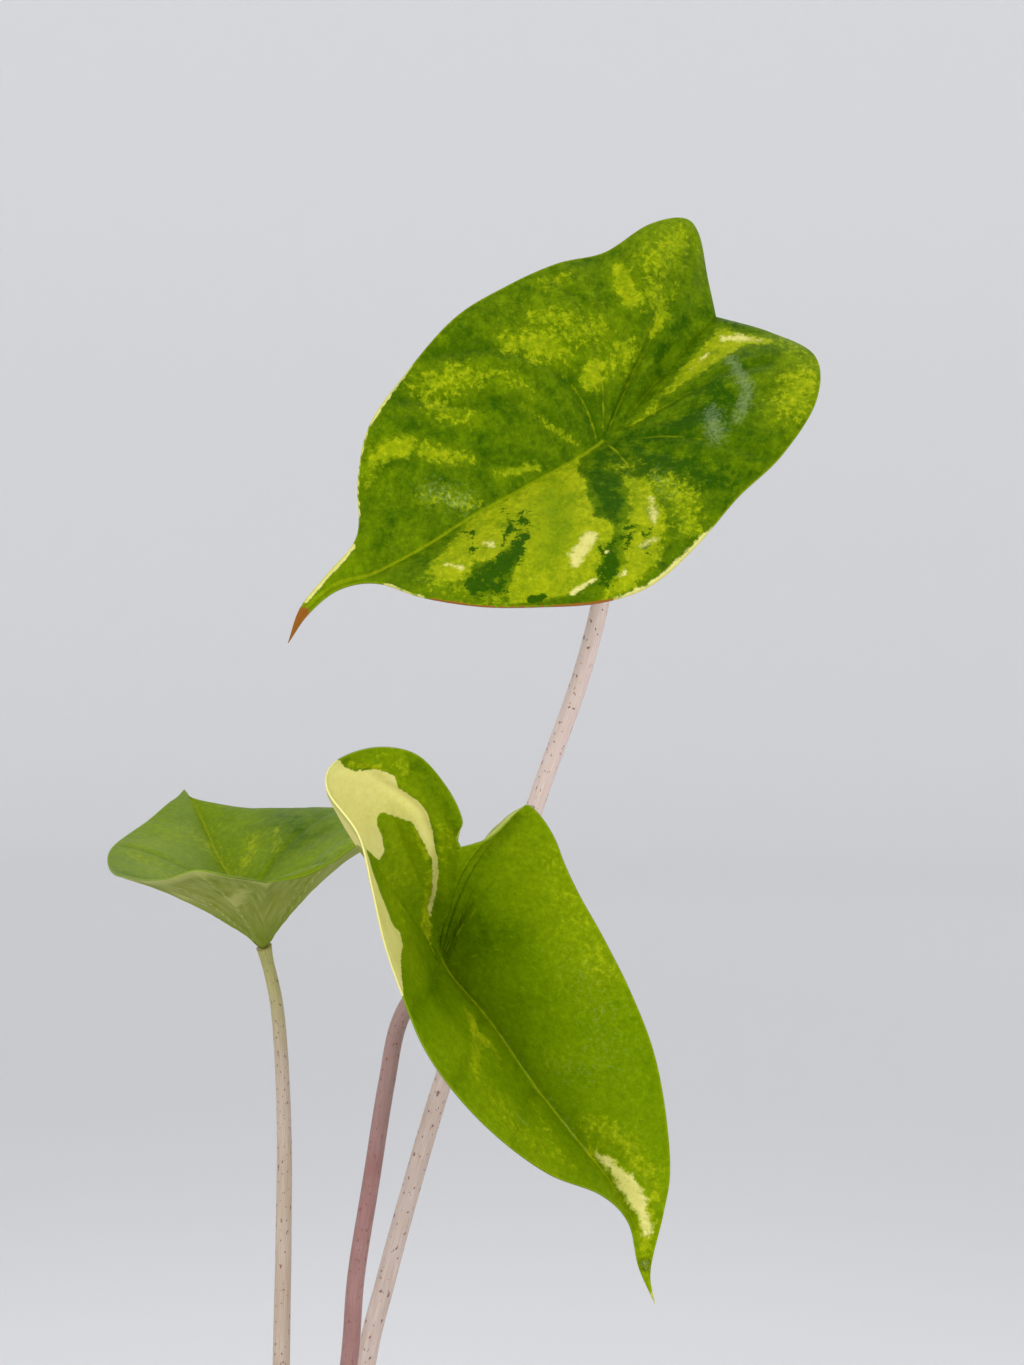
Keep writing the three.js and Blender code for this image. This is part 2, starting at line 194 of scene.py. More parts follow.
# Markings of the blades: kind, strength, softness of the outline in mm, and its shape. A shape of
# (row, s, radius in mm) is a chain of round spots; one of (row, s) is the corners of an area. A row is
# as in the leaf's list, and s runs from the axis to the rim and is negative on side 0.
# Marks of the kinds shade and light are painted shade and painted light, partly the leaf's own deeper and
# paler greens; bloom marks are a painted whitish sheen.
MARKINGS = {
    "top": [
        # Green half: broad painted shade and light, partly its own greens, then clouds of lime speckles.
        ("shade", 0.6, 20, [(8, 0, 70)]),
        ("shade", 1.5, 5, [(8.2, -0.1, 3), (8.8, -0.35, 5), (9.6, -0.5, 6)]),
        ("shade", 1.05, 5, [(9.6, -0.6, 7), (10.2, -0.85, 6)]),
        ("shade", 1.3, 5, [
            (9.9, -0.25, 3.5), (10.6, -0.12, 2.5), (11, -0.3, 4.5), (11.6, -0.5, 5), (12.6, -0.45, 4),
        ]),
        ("shade", 0.8, 6, [(6.6, 0.1, 4), (6.3, 0.3, 5), (5.8, 0.4, 4)]),
        ("shade", 0.75, 5, [(5.6, 0.15, 3), (4.6, 0.4, 4), (3.6, 0.4, 4)]),
        ("light", 0.9, 8, [(10.4, 0.85, 5), (11.4, 0.8, 7), (12.4, 0.8, 5)]),
        ("light", 0.55, 8, [(7.4, 0.88, 5), (8.4, 0.85, 6), (9.2, 0.85, 4)]),
        ("shade", 0.9, 7, [(8, 0.1, 3), (7.2, 0.4, 5), (6.6, 0.45, 5), (6, 0.25, 4)]),
        ("shade", 0.7, 6, [(5.4, 0.65, 3), (5.7, 0.85, 4)]),
        ("shade", 0.9, 4, [(12.6, 0.15, 2), (13.4, 0.3, 4), (13.8, 0.5, 3)]),
        ("shade", 0.7, 6, [(4, 0.5, 4), (3.4, 0.4, 4)]),
        ("lime", 0.55, 4, [(11.2, 0.75, 5), (11.9, 0.88, 5)]),
        ("lime", 1.1, 1.2, [(10.2, 0.85, 1.5), (10.3, 0.74, 2.2), (10.55, 0.6, 1.7)]),
        ("lime", 0.6, 3, [(10.8, 0.6, 3), (11.6, 0.57, 3.5)]),
        ("lime", 0.95, 1.2, [(12.3, 0.48, 1.4), (12.1, 0.4, 1)]),
        ("lime", 0.5, 2, [(12.7, 0.75, 1), (12.6, 0.6, 0.8), (12.3, 0.5, 0.8)]),
        ("lime", 0.8, 4, [(7.4, 0.68, 2.6), (7.8, 0.6, 4.6), (8.1, 0.52, 3)]),
        ("lime", 0.62, 4, [(8, 0.74, 3), (8.6, 0.66, 3.5)]),
        ("lime", 1.05, 2, [(9, 0.36, 1.8), (8.8, 0.3, 2.4)]),
        ("lime", 0.8, 1.5, [(10.1, 0.43, 1.4)]),
        ("lime", 0.66, 4, [(9.4, 0.34, 3.5), (10.6, 0.36, 3.5)]),
        ("lime", 0.6, 4, [(8.7, 0.55, 4), (9.5, 0.55, 4)]),
        ("lime", 0.5, 3, [(9, 0.88, 2), (8.6, 0.9, 2)]),
        ("lime", 0.7, 4, [(6.1, 0.88, 2.5), (6.3, 0.77, 4), (6.6, 0.68, 2.6)]),
        ("lime", 0.68, 2.5, [(5.9, 0.74, 2.2), (6, 0.6, 1.8), (6.2, 0.5, 1.4)]),
        ("lime", 0.55, 2.5, [(6.8, 0.62, 2), (7, 0.5, 2), (7.2, 0.4, 1.6)]),
        ("lime", 0.9, 1.5, [(4.5, 0.88, 1.4), (4.8, 0.8, 2.4), (5.1, 0.68, 2.6)]),
        ("lime", 0.85, 2, [(5.3, 0.52, 2.2), (5.5, 0.42, 2), (5.8, 0.32, 1.2)]),
        ("lime", 0.5, 3, [(4.6, 0.95, 2), (4.2, 0.9, 2)]),
        ("lime", 0.62, 2.5, [(4.8, 0.3, 1.8), (5.2, 0.15, 2), (5.5, 0.05, 1)]),
        ("lime", 0.75, 0.8, [(6.05, 0.16, 0.9), (6.4, 0.1, 1), (6.75, 0.06, 0.8)]),
        ("lime", 0.7, 0.8, [(7.8, 0.05, 0.6), (7.5, 0.13, 0.8), (7.2, 0.22, 0.7), (6.9, 0.38, 0.6)]),
        # Painted sheen: a whitish patch standing in for the gloss.
        ("bloom", 0.5, 4, [(5.3, 0.12, 2), (4.9, 0.3, 2)]),
        # Half of side 0: lime areas with green islands between the tail and the dark sector.
        ("lime", 1.3, 0.9, [
            (7.65, -0.01), (7.35, -0.1), (7.4, -0.2), (7.18, -0.3),
            (7.22, -0.41), (7.12, -0.48), (7.32, -0.53),
            (7.45, -0.6), (7.3, -0.68), (7.08, -0.73), (7, -0.86), (6.5, -0.92), (6, -0.95), (5.5, -0.96),
            (5.5, -0.83), (5.65, -0.68), (5.9, -0.48), (6.02, -0.25), (6.1, -0.02),
        ]),
        ("lime", 1.05, 1.8, [
            (5.3, -0.02), (5.95, -0.01), (6.15, -0.1), (5.98, -0.4),
            (5.6, -0.5), (5.25, -0.57), (4.95, -0.52),
            (4.75, -0.72), (4.4, -0.74), (4.1, -0.6), (4.3, -0.4), (4.7, -0.2),
        ]),
        ("lime", 1.05, 2, [
            (8.2, -0.33), (8.8, -0.42), (8.6, -0.58), (8.6, -0.72), (8.2, -0.88), (7.6, -0.97), (7, -0.99),
            (7.05, -0.93), (7.5, -0.82), (7.6, -0.66), (7.9, -0.55), (8.1, -0.46),
        ]),
        ("lime", 0.62, 3, [(8.9, -0.5, 3), (9.2, -0.7, 4), (9, -0.88, 3)]),
        ("lime", 0.55, 3, [(4.6, -0.85, 2), (5.4, -0.93, 2.4), (4.2, -0.75, 2.4)]),
        ("lime", 0.5, 2.5, [(8.2, -0.2, 1.6), (8.7, -0.28, 2)]),
        ("yellow", 0.8, 3, [
            (7.2, -0.08, 1.2), (7.2, -0.3, 1.6), (7.1, -0.55, 3), (6.8, -0.7, 3.5), (6.4, -0.87, 2),
        ]),
        ("yellow", 0.7, 2.5, [(6.5, -0.05, 1.6), (6.05, -0.12, 2)]),
        ("yellow", 0.85, 2.5, [(5.3, -0.28, 2.8), (5.4, -0.45, 2.5), (4.65, -0.6, 2.5), (4.4, -0.55, 1.6)]),
        ("yellow", 0.7, 3, [(8.4, -0.5, 2), (8.3, -0.72, 2.4), (7.8, -0.78, 2), (7.6, -0.93, 1.6)]),
        ("green", 0.75, 3, [(6.75, -0.12, 2), (6.6, -0.3, 3.4), (6.5, -0.5, 3), (6.2, -0.65, 2.6)]),
        ("green", 0.6, 1, [(6.75, -0.28, 1.4), (6.8, -0.18, 0.8)]),
        ("dark", 0.85, 2.2, [
            (6.1, -0.22, 1.2), (6, -0.38, 1.6), (5.85, -0.48, 2), (5.5, -0.62, 2.6), (5.2, -0.7, 3),
        ]),
        ("dark", 0.9, 2.2, [(5.2, -0.7, 3), (4.95, -0.8, 2.8), (5.3, -0.82, 2.2)]),
        ("dark", 0.7, 1.8, [(5.9, -0.1, 1.2), (5.8, -0.3, 1.6), (5.6, -0.4, 1.4)]),
        ("dark", 0.7, 1.5, [(5.1, -0.12, 1.4), (5, -0.4, 1)]),
        ("dark", 1, 0.4, [(5.85, -0.95, 1.1), (6.05, -0.93, 0.8)]),
        ("dark", 0.9, 2, [(7.2, -0.72, 1.4), (7.25, -0.8, 2), (7.1, -0.9, 1.8)]),
        ("dark", 0.7, 1.5, [(7.4, -0.68, 1.2), (7.8, -0.64, 1.2), (7.6, -0.75, 1.2)]),
        ("dark", 0.6, 2, [(8, -0.8, 1.4), (8.4, -0.62, 1.2)]),
        # Painted shade over the dark sector by the joint, partly the leaf's own deep green.
        ("shade", 1.2, 2.5, [(8, -0.12, 3), (7.75, -0.28, 4.5), (7.65, -0.45, 3.5)]),
        ("shade", 1, 6, [(8.7, -0.22, 4), (9.4, -0.4, 5), (10, -0.65, 6), (10.4, -0.88, 4)]),
        ("shade", 0.9, 6, [(10.6, -0.3, 4), (11.4, -0.35, 5)]),
        ("cream", 0.85, 2.2, [(6.95, -0.6, 1.6), (6.75, -0.68, 2.4), (6.6, -0.74, 1.4)]),
        ("cream", 0.7, 0.8, [(7.2, -0.73, 0.9)]),
        ("cream", 0.7, 0.8, [(6.9, -0.87, 0.9), (6.5, -0.93, 0.8)]),
        ("cream", 0.6, 1, [(7.5, -0.87, 1), (7.3, -0.9, 0.9)]),
        ("cream", 0.62, 2, [(8.5, -0.56, 1.6), (8.35, -0.68, 1.6)]),
        ("cream", 0.6, 2, [(8.3, -0.78, 1.4), (7.9, -0.76, 1.4)]),
        ("cream", 0.6, 1.5, [(5.35, -0.42, 1.6), (5.2, -0.32, 1)]),
        ("cream", 0.62, 1, [(4.7, -0.58, 1.2), (4.5, -0.5, 0.8)]),
        # Lobe of side 0: a yellow area along the crease, and a yellow-green end.
        ("lime", 1.15, 1.6, [
            (13.15, -0.16), (13.6, -0.18), (13.9, -0.22), (14.25, -0.32), (14.5, -0.5), (14.4, -0.62),
            (14.1, -0.7), (13.95, -0.8), (13.7, -0.86), (13.55, -0.8), (13.75, -0.66), (13.65, -0.55),
            (13.5, -0.42), (13.35, -0.3),
        ]),
        ("lime", 0.7, 2, [(12.5, -0.08, 0.8), (12.9, -0.14, 1)]),
        ("yellow", 0.85, 2.5, [(13.7, -0.28, 1.5), (14.1, -0.45, 2.4), (14, -0.66, 2), (13.65, -0.82, 1)]),
        ("cream", 0.7, 1.6, [(14.2, -0.52, 1.4), (14.05, -0.66, 1.8), (13.7, -0.8, 0.8)]),
        ("cream", 0.55, 1.2, [(13.6, -0.26, 1), (13.9, -0.36, 1)]),
        ("dark", 0.7, 1.5, [(14.7, -0.75, 1.2), (14.4, -0.82, 1.2)]),
        ("light", 1.2, 6, [(11.7, -0.88, 5), (12.2, -0.86, 6), (12.8, -0.9, 5)]),
        ("lime", 0.75, 5, [(11.9, -0.86, 4), (12.4, -0.88, 4.5)]),
        ("yellow", 0.6, 4, [(12, -0.9, 3), (12.4, -0.9, 3)]),
        ("lime", 0.55, 3, [(13.2, -0.9, 2), (13.6, -0.93, 2)]),
        # Painted sheen: whitish patches where the lobe catches the gloss.
        ("bloom", 0.85, 2.5, [(11.9, -0.46, 1.2), (11.5, -0.5, 2), (11, -0.58, 1.6)]),
        ("bloom", 0.9, 2, [(13.4, -0.5, 1), (12.9, -0.54, 1.2), (12.3, -0.6, 1.4), (11.5, -0.62, 0.8)]),
        ("bloom", 0.35, 4, [(8.9, -0.62, 1.5), (9.1, -0.45, 1)]),
        # Pale margin, dried margin and dried tail tip.
        ("cream", 1.1, 0.5, [(3.4, 1, 0.5), (4.4, 1, 0.4), (5.2, 1, 0.7), (5.6, 1, 0.8), (6.2, 1, 0.5)]),
        ("cream", 1.1, 1.2, [(7.2, -1, 0.3), (7.7, -1, 0.8), (8.4, -1, 1.1), (9, -1, 0.7), (9.4, -1, 0.2)]),
        ("cream", 1, 0.5, [(3.2, -1, 0.5), (4, -1, 0.4)]),
        ("cream", 1, 0.5, [(1.2, 0.8, 0.5), (2, 0.9, 0.7), (2.8, 0.95, 0.7)]),
        ("scorch", 1, 0.3, [(4.1, -1, 0.3), (4.6, -1, 0.55), (5.2, -1, 0.5), (6.2, -1, 0.35)]),
        ("scorch", 1, 0.4, [(6.2, -1, 0.35), (6.6, -1, 0.5), (6.9, -1, 0.75), (7.2, -1, 0.4)]),
        ("scorch", 1.2, 1.5, [(0, 0, 3.5), (0.5, 0, 3), (0.9, 0, 1.5)]),
    ],
    "front": [
        # Lobe of side 1: a cream area whose band follows the rib down to the joint.
        ("cream", 1.4, 0.6, [
            (11.1, 1.05), (13.05, 1.05), (13.2, 0.93), (13.45, 0.86), (14, 0.84), (14.35, 0.79), (14.42, 0.7),
            (14.7, 0.66), (15, 0.62), (15.25, 0.55), (15.3, 0.45), (15.2, 0.33), (15.1, 0.25), (14.9, 0.25),
            (14.82, 0.36), (14.6, 0.5), (14.15, 0.55), (13.7, 0.6), (13.45, 0.57), (13.4, 0.48), (13.2, 0.42),
            (12.7, 0.42), (12.2, 0.55), (11.1, 0.78),
        ]),
        ("cream", 1, 0.5, [(15.05, 0.27, 0.8), (14.9, 0.2, 0.7), (14.4, 0.13, 0.6), (13.6, 0.09, 0.55)]),
        ("lime", 1, 0.8, [(14.7, 0.2, 1.3), (14, 0.13, 1.1), (12.9, 0.08, 1.1), (9.5, 0.08, 0.8)]),
        ("yellow", 1, 0.8, [(14, 0.1, 0.8), (12.9, 0.06, 0.9), (9, 0.06, 0.8)]),
        ("lime", 0.8, 1, [(14.7, 0.46, 1), (14.6, 0.36, 0.9), (14.8, 0.28, 0.9)]),
        ("cream", 1.4, 0.45, [
            (11.1, 1.05), (8, 1.05), (7.95, 0.99), (8.2, 0.88), (8.5, 0.72),
            (8.8, 0.58), (9.2, 0.54), (9.35, 0.66),
            (9.6, 0.68), (10, 0.79), (10.6, 0.86), (11.1, 0.92),
        ]),
        ("lime", 0.85, 1, [(14.1, 0.84, 1), (13.7, 0.88, 1), (13.4, 0.92, 0.9)]),
        ("lime", 0.55, 2, [(14.6, 0.85, 2), (14.2, 0.93, 1.6)]),
        ("lime", 0.6, 2, [(16.3, 0.35, 1), (16, 0.5, 1.2), (15.6, 0.25, 1)]),
        ("lime", 0.5, 2.5, [(13.6, 0.28, 2), (10, 0.42, 2.5)]),
        # Painted light over the lobe and painted shade along its rim.
        ("light", 0.75, 6, [(16.5, 0.6, 4), (14.2, 0.7, 3), (13.5, 0.3, 4), (10, 0.5, 5), (8.5, 0.5, 4)]),
        ("shade", 0.6, 3, [(17, 0.8, 2), (16, 0.85, 3), (15, 0.9, 2)]),
        # Body of the blade: painted light on both halves, painted shade in the hollow by the joint.
        ("light", 0.6, 8, [(11.5, -0.7, 4), (10, -0.8, 5), (9, -0.85, 5), (7.6, -0.85, 6), (6.4, -0.85, 5)]),
        ("light", 0.5, 6, [(6.6, 0.6, 5), (5.4, 0.7, 5), (4.4, 0.7, 4)]),
        ("shade", 0.62, 9, [(11, -0.12, 2), (9.3, -0.25, 4), (8.4, -0.3, 5), (7.9, -0.45, 4)]),
        ("shade", 0.25, 8, [(7.3, -0.35, 5), (6.5, -0.3, 5)]),
        ("shade", 0.35, 4, [(7.9, 0.3, 2.5), (7.3, 0.4, 3)]),
        ("lime", 1.25, 1.6, [(7.15, 0.17, 1), (6.95, 0.2, 1.6), (6.7, 0.25, 2.2), (6.5, 0.2, 1.2)]),
        ("lime", 1.05, 1.6, [(6.6, 0.3, 1.6), (6.35, 0.44, 1.5), (6.15, 0.58, 1.2)]),
        ("yellow", 0.8, 1.6, [(6.9, 0.2, 0.9), (6.7, 0.25, 1.4)]),
        ("lime", 0.55, 1.6, [(6.3, 0.2, 1.1), (6.1, 0.28, 0.9)]),
        ("lime", 0.6, 2, [(5.2, 0.2, 0.9), (4.8, 0.3, 1.1), (4.3, 0.42, 1.2), (3.8, 0.58, 1)]),
        ("lime", 0.5, 3.5, [(5.6, 0.65, 2.4), (4.6, 0.7, 2.4), (4, 0.66, 2)]),
        ("yellow", 1, 1.6, [
            (3.75, -0.08, 0.9), (3.4, -0.17, 1.8), (2.9, -0.27, 2.2), (2.3, -0.36, 2), (1.7, -0.4, 1),
        ]),
        ("lime", 1.1, 1.8, [
            (3.9, -0.06, 1.1), (3.4, -0.18, 2.2), (2.8, -0.3, 2.8), (2.2, -0.4, 2.6), (1.5, -0.4, 1.5),
        ]),
        ("cream", 0.92, 3, [
            (3.8, -0.1, 0.8), (3.3, -0.19, 2), (2.8, -0.28, 2.6), (2.2, -0.36, 2), (1.7, -0.4, 1),
        ]),
        ("lime", 0.75, 3.5, [(4.3, -0.2, 2), (3.8, -0.42, 2.5), (3.1, -0.62, 2.6), (2.5, -0.75, 1.6)]),
        ("lime", 0.5, 3, [(7.4, -0.93, 3), (6.4, -0.9, 3.5), (9.3, -0.95, 2)]),
        # Painted sheen: whitish patches standing in for the gloss.
        ("bloom", 0.22, 6, [(6.6, -0.76, 2), (5.9, -0.76, 3), (5.1, -0.62, 3.5), (5.3, -0.35, 3)]),
        ("bloom", 0.3, 2, [(6.6, -0.03, 0.6), (5.6, -0.03, 1), (4.8, -0.02, 1.4), (4.1, 0.02, 1.2)]),
        ("bloom", 0.6, 1.2, [(5.15, 0.52, 0.3), (4.95, 0.5, 0.3)]),
        ("lime", 0.6, 2, [(1.2, 0, 1), (0.5, 0, 1)]),
        ("cream", 0.85, 1, [(0, 0, 1.4), (0.25, 0, 0.6)]),
    ],
    "back": [
        ("light", 0.9, 8, [(5.2, -0.8, 5), (3.7, -0.52, 5), (6.6, -0.7, 4)]),
        ("light", 0.6, 12, [(5.2, 0.3, 8), (8, 0.4, 12), (11, 0.5, 10)]),
        ("lime", 0.7, 4, [(3.3, -0.28, 2.5), (3.6, -0.07, 2.4), (4.6, -0.03, 1.4)]),
        ("lime", 1, 3, [(4.5, 0.28, 1.4), (4.8, 0.17, 1.6), (5, 0.08, 1.5)]),
        ("lime", 0.65, 2.5, [(4.8, 0.4, 1.2), (5.4, 0.3, 1.2)]),
        ("lime", 0.6, 3, [(3.2, 0.12, 1.8)]),
        ("lime", 0.6, 3, [(5.8, -0.75, 1.8), (5.6, -0.87, 1.8), (6.6, -0.6, 2)]),
        ("lime", 0.55, 4, [(8.5, -0.6, 5), (10.5, -0.5, 4), (12.5, -0.5, 3)]),
        ("cream", 0.8, 1.2, [(3.3, 0.97, 0.6), (4.2, 0.98, 0.6)]),
        ("shade", 0.7, 8, [(5.6, 0.47, 7), (4.4, 0.6, 5)]),
        ("light", 0.8, 4, [(11.3, 0.9, 3), (12.5, 0.8, 3)]),
    ],
}

# Veins sunk in the upper face: depth and half width in mm, and (row, s) along the vein.
# Their depth also darkens the upper face's colour: painted shade, partly the darker green beside the veins.
VEINS = {
    "top": [
        (0.8, 1.8, [(8.6, 0.04), (8.2, 0.26), (7.75, 0.5), (6.95, 0.77), (6.5, 0.94)]),
        (0.6, 1.6, [(7.8, 0.05), (7.4, 0.15), (6.9, 0.38), (6.2, 0.62), (5.7, 0.92)]),
        (0.4, 1.6, [(7, 0.03), (6.2, 0.2), (5.4, 0.45), (4.8, 0.7), (4.5, 0.95)]),
        (0.4, 1.5, [(9.4, 0.06), (9.3, 0.3), (9.2, 0.55), (8.8, 0.92)]),
        (0.7, 1.2, [(12, 0.05), (12, 0.25), (12.5, 0.46), (12.8, 0.68), (12.7, 0.9)]),
        (0.6, 1.4, [(12.5, -0.06), (12.8, -0.22), (13.1, -0.42), (13, -0.7)]),
        (0.4, 1.6, [(11, -0.05), (10.9, -0.35), (10.8, -0.7), (10.9, -0.95)]),
        (0.5, 1.6, [(9, -0.05), (8.6, -0.3), (8.4, -0.6), (8.3, -0.95)]),
        (0.35, 1.5, [(7, -0.05), (6.6, -0.3), (6.3, -0.6), (6.1, -0.95)]),
        (0.3, 1.4, [(5.6, -0.08), (5.1, -0.4), (4.8, -0.9)]),
    ],
    "front": [
        (0.6, 1.2, [
            (9, 0.06), (13.4, 0.09), (14.7, 0.2), (15.2, 0.36), (15, 0.55), (14, 0.75), (13.3, 0.95),
        ]),
        (0.35, 1.5, [(8, 0.1), (7.6, 0.4), (7.5, 0.9)]),
        (0.35, 1.6, [(7, 0.05), (6.4, 0.4), (6.2, 0.9)]),
        (0.3, 1.6, [(5.6, 0.05), (5, 0.5), (4.8, 0.9)]),
        (0.4, 1.6, [(9.5, -0.05), (10.8, -0.4), (11.6, -0.9)]),
        (0.15, 1.8, [(9, -0.06), (9.2, -0.4), (9.3, -0.9)]),
        (0.15, 1.8, [(8, -0.06), (7.6, -0.4), (7.6, -0.9)]),
        (0.12, 1.8, [(7, -0.05), (6.4, -0.5), (6.3, -0.9)]),
        (0.12, 1.6, [(5.6, -0.05), (5, -0.5), (4.8, -0.9)]),
    ],
    "back": [
        (0.4, 1.6, [(8, 0.05), (7.6, 0.5), (7.4, 0.9)]),
        (0.4, 1.6, [(8, -0.05), (7.6, -0.5), (7.4, -0.9)]),
        (0.4, 1.6, [(6, 0.05), (5.4, 0.5), (5, 0.9)]),
        (0.4, 1.6, [(6, -0.05), (5.4, -0.5), (5, -0.9)]),
        (0.4, 1.6, [(10, -0.05), (10.4, -0.5), (10.6, -0.9)]),
        (0.4, 1.6, [(10, 0.05), (10.4, 0.5), (10.6, 0.9)]),
        (0.5, 1.4, [(12, -0.05), (12, -0.9)]),
        (0.5, 1.4, [(12, 0.05), (12, 0.9)]),
    ],
}


def linear(hex_colour):
    """Linear RGBA of an sRGB colour such as "#6e8f05"."""
    channels = [int(hex_colour[i:i + 2], 16) / 255 for i in (1, 3, 5)]
    return tuple(c / 12.92 if c <= 0.04045 else ((c + 0.055) / 1.055) ** 2.4 for c in channels) + (1.0,)


def colour(name, description, hex_colour):
    """Colour property with its default given as an sRGB hex value."""
    return FloatVectorProperty(
        name=name, description=description, subtype="COLOR", size=4, min=0, max=1, default=linear(hex_colour)
    )


def length(name, description, millimetres):
    """Length property with its default given in millimetres."""
    return FloatProperty(
        name=name, description=description, default=millimetres * MM, min=0, precision=5, unit="LENGTH"
    )


class AlocasiaLeafSettings(PropertyGroup):
    """Sizes and colours of the leaf blades."""

    thickness: length("Thickness", "Thickness of a blade between its ribs", 0.8)
    rim_thickness: length("Rim thickness", "Thickness of a blade at its rim", 0.4)
    rib: length("Rib height", "Height of the midrib under the blade at the joint", 1.1)
    rib_reach: length("Rib reach", "Distance from the joint at which the ribs have faded out", 85)
    shadow: colour("Shadow green", "Darker streaks of the green tissue", "#577a00")
    # The deep green also serves as the painted shade of the shade marks and of the sunk veins.
    deep: colour("Deep green", "Green of the dark sectors", "#2f5600")
    green: colour("Green", "Green of most of the upper face", "#718e00")
    mid: colour("Soft green", "Green of the islands within a lime patch", "#7a9407")
    # The light green also serves as the painted light of the light marks.
    light: colour("Light green", "Green of the brighter zones", "#8aa107")
    lime: colour("Lime", "Yellow-green of the marbled patches", "#9dab08")
    yellow: colour("Yellow", "Yellow heart of the marbled patches", "#b3ba16")
    cream: colour("Cream", "Cream of the sectors without green", "#ebe38f")
    butter: colour("Butter", "Deeper tone of the cream", "#ddd878")
    # Bloom is a painted whitish sheen standing in for the leaf's gloss.
    bloom: colour("Bloom", "Whitish wax bloom", "#a9b890")
    under: colour("Underside", "Paler green of the lower face", "#8b9a26")
    under_rib: colour("Underside rib", "Pale tone of the ribs and streaks of the lower face", "#c6cc72")
    under_fold: colour("Underside fold", "Brownish green of the ribs at the joint", "#77701a")
    scorch: colour("Dry margin", "Orange brown of the dried margin and tail tip", "#9a6222")


class AlocasiaStalkSettings(PropertyGroup):
    """Colours of the leaf stalks and the stem base."""

    blush: colour("Blush", "Pale pinkish beige of the tallest stalk", "#c0aca0")
    pink: colour("Pink", "Paler pink of the tallest stalk towards its top", "#d6c2bb")
    mauve: colour("Mauve", "Mauve of the front stalk", "#92655f")
    dusk: colour("Dusk", "Greyer mauve of the front stalk towards its top", "#9c8078")
    beige: colour("Beige", "Beige of the back stalk", "#b5a08b")
    fresh: colour("Fresh green", "Green where a stalk meets its blade", "#a3a05c")
    fleck: colour("Flecks", "Brown of the small flecks", "#7a5348")
    bark: colour("Stem skin", "Dry skin of the ringed stem base", "#7d5f43")


class AlocasiaPotSettings(PropertyGroup):
    """Colours of the clay pot."""

    clay: colour("Clay", "Fired terracotta", "#b96b45")
    pale: colour("Lime bloom", "Chalky bloom on the clay", "#d8a98c")


class AlocasiaMixSettings(PropertyGroup):
    """Contents of the potting mix."""

    peat: colour("Peat", "Dark peat between the chips", "#2e221a")
    bark: colour("Bark", "Bark chips", "#6d4a30")
    perlite: colour("Perlite", "White perlite grains", "#e4e0d6")
    chips: IntProperty(name="Bark chips", description="Number of bark chips", default=420, min=0)
    grains: IntProperty(name="Perlite grains", description="Number of perlite grains", default=260, min=0)
    crumbs: IntProperty(name="Peat crumbs", description="Number of peat crumbs", default=900, min=0)
    seed: IntProperty(name="Seed", description="Seed of the scatter", default=7, min=0)


class AlocasiaStageSettings(PropertyGroup):
    """Stage and lamps."""

    paper: colour("Backdrop", "Matt grey-white of the seamless floor and backdrop", "#ebebec")
    # The darker ring of the backdrop is painted shade.
    dusk: colour("Darker backdrop", "Grey of the backdrop's darker ring", "#c8c8ca")
    sky: colour("Room light", "Colour of the light from all round", "#f2f3f6")
    sky_strength: FloatProperty(name="Room light", description="Strength of the room light", default=0.9)
    key: FloatProperty(name="Key", description="Power of the large soft lamp", default=13, unit="POWER")
    fill: FloatProperty(name="Fill", description="Power of the soft lamp opposite", default=12, unit="POWER")
    rear: FloatProperty(name="Rear", description="Power of the soft lamp behind", default=3, unit="POWER")


def add_node(tree, kind, settings=None, inputs=None, output=None):
    """Adds a node, sets its settings, fills or links its inputs, and returns it or one of its outputs."""
    made = tree.nodes.new(kind)
    for name, value in (settings or {}).items():
        setattr(made, name, value)
    for key, value in (inputs or {}).items():
        if isinstance(value, bpy.types.NodeSocket):
            tree.links.new(value, made.inputs[key])
        else:
            made.inputs[key].default_value = value
    return made if output is None else made.outputs[output]


def new_material(name, roughness, specular=0.5):
    """Material with a bare tree: returns it, its tree and its Principled shader, linked to its output."""
    material = bpy.data.materials.new(name)
    material.use_nodes = True
    tree = material.node_tree
    tree.nodes.clear()
    gloss = {"Roughness": roughness, "Specular IOR Level": specular}
    shader = add_node(tree, "ShaderNodeBsdfPrincipled", None, gloss)
    add_node(tree, "ShaderNodeOutputMaterial", None, {"Surface": shader.outputs[0]})
    return material, tree, shader


def coat(tree, shader, tint, relief=None, strength=0.5, depth=0.1):
    """Gives a shader its colour and, from a relief, fine bumps of a depth in mm."""
    tree.links.new(tint, shader.inputs["Base Color"])
    if relief is not None:
        settings = {"Strength": strength, "Distance": depth * MM, "Height": relief}
        tree.links.new(add_node(tree, "ShaderNodeBump", None, settings, 0), shader.inputs["Normal"])


def let_light_through(tree, shader, tint, share):
    """Lets a share of the light pass through a leaf in its own colour."""
    surface = shader.outputs[0].links[0].to_socket
    through = add_node(tree, "ShaderNodeBsdfTranslucent", None, {"Color": tint}, 0)
    both = add_node(tree, "ShaderNodeMixShader", None, {0: share, 1: shader.outputs[0], 2: through}, 0)
    tree.links.new(both, surface)


def layered(tree, base, *layers):
    """Lays colours over a base in order: each has its mask, its share, its colour and at times its blend."""
    for mask, share, above, *blend in layers:
        if share != 1:
            mask = add_node(tree, "ShaderNodeMath", {"operation": "MULTIPLY"}, {0: mask, 1: share}, 0)
        settings = {"data_type": "RGBA", "blend_type": blend[0] if blend else "MIX"}
        base = add_node(tree, "ShaderNodeMix", settings, {0: mask, 6: base, 7: above}, 2)
    return base


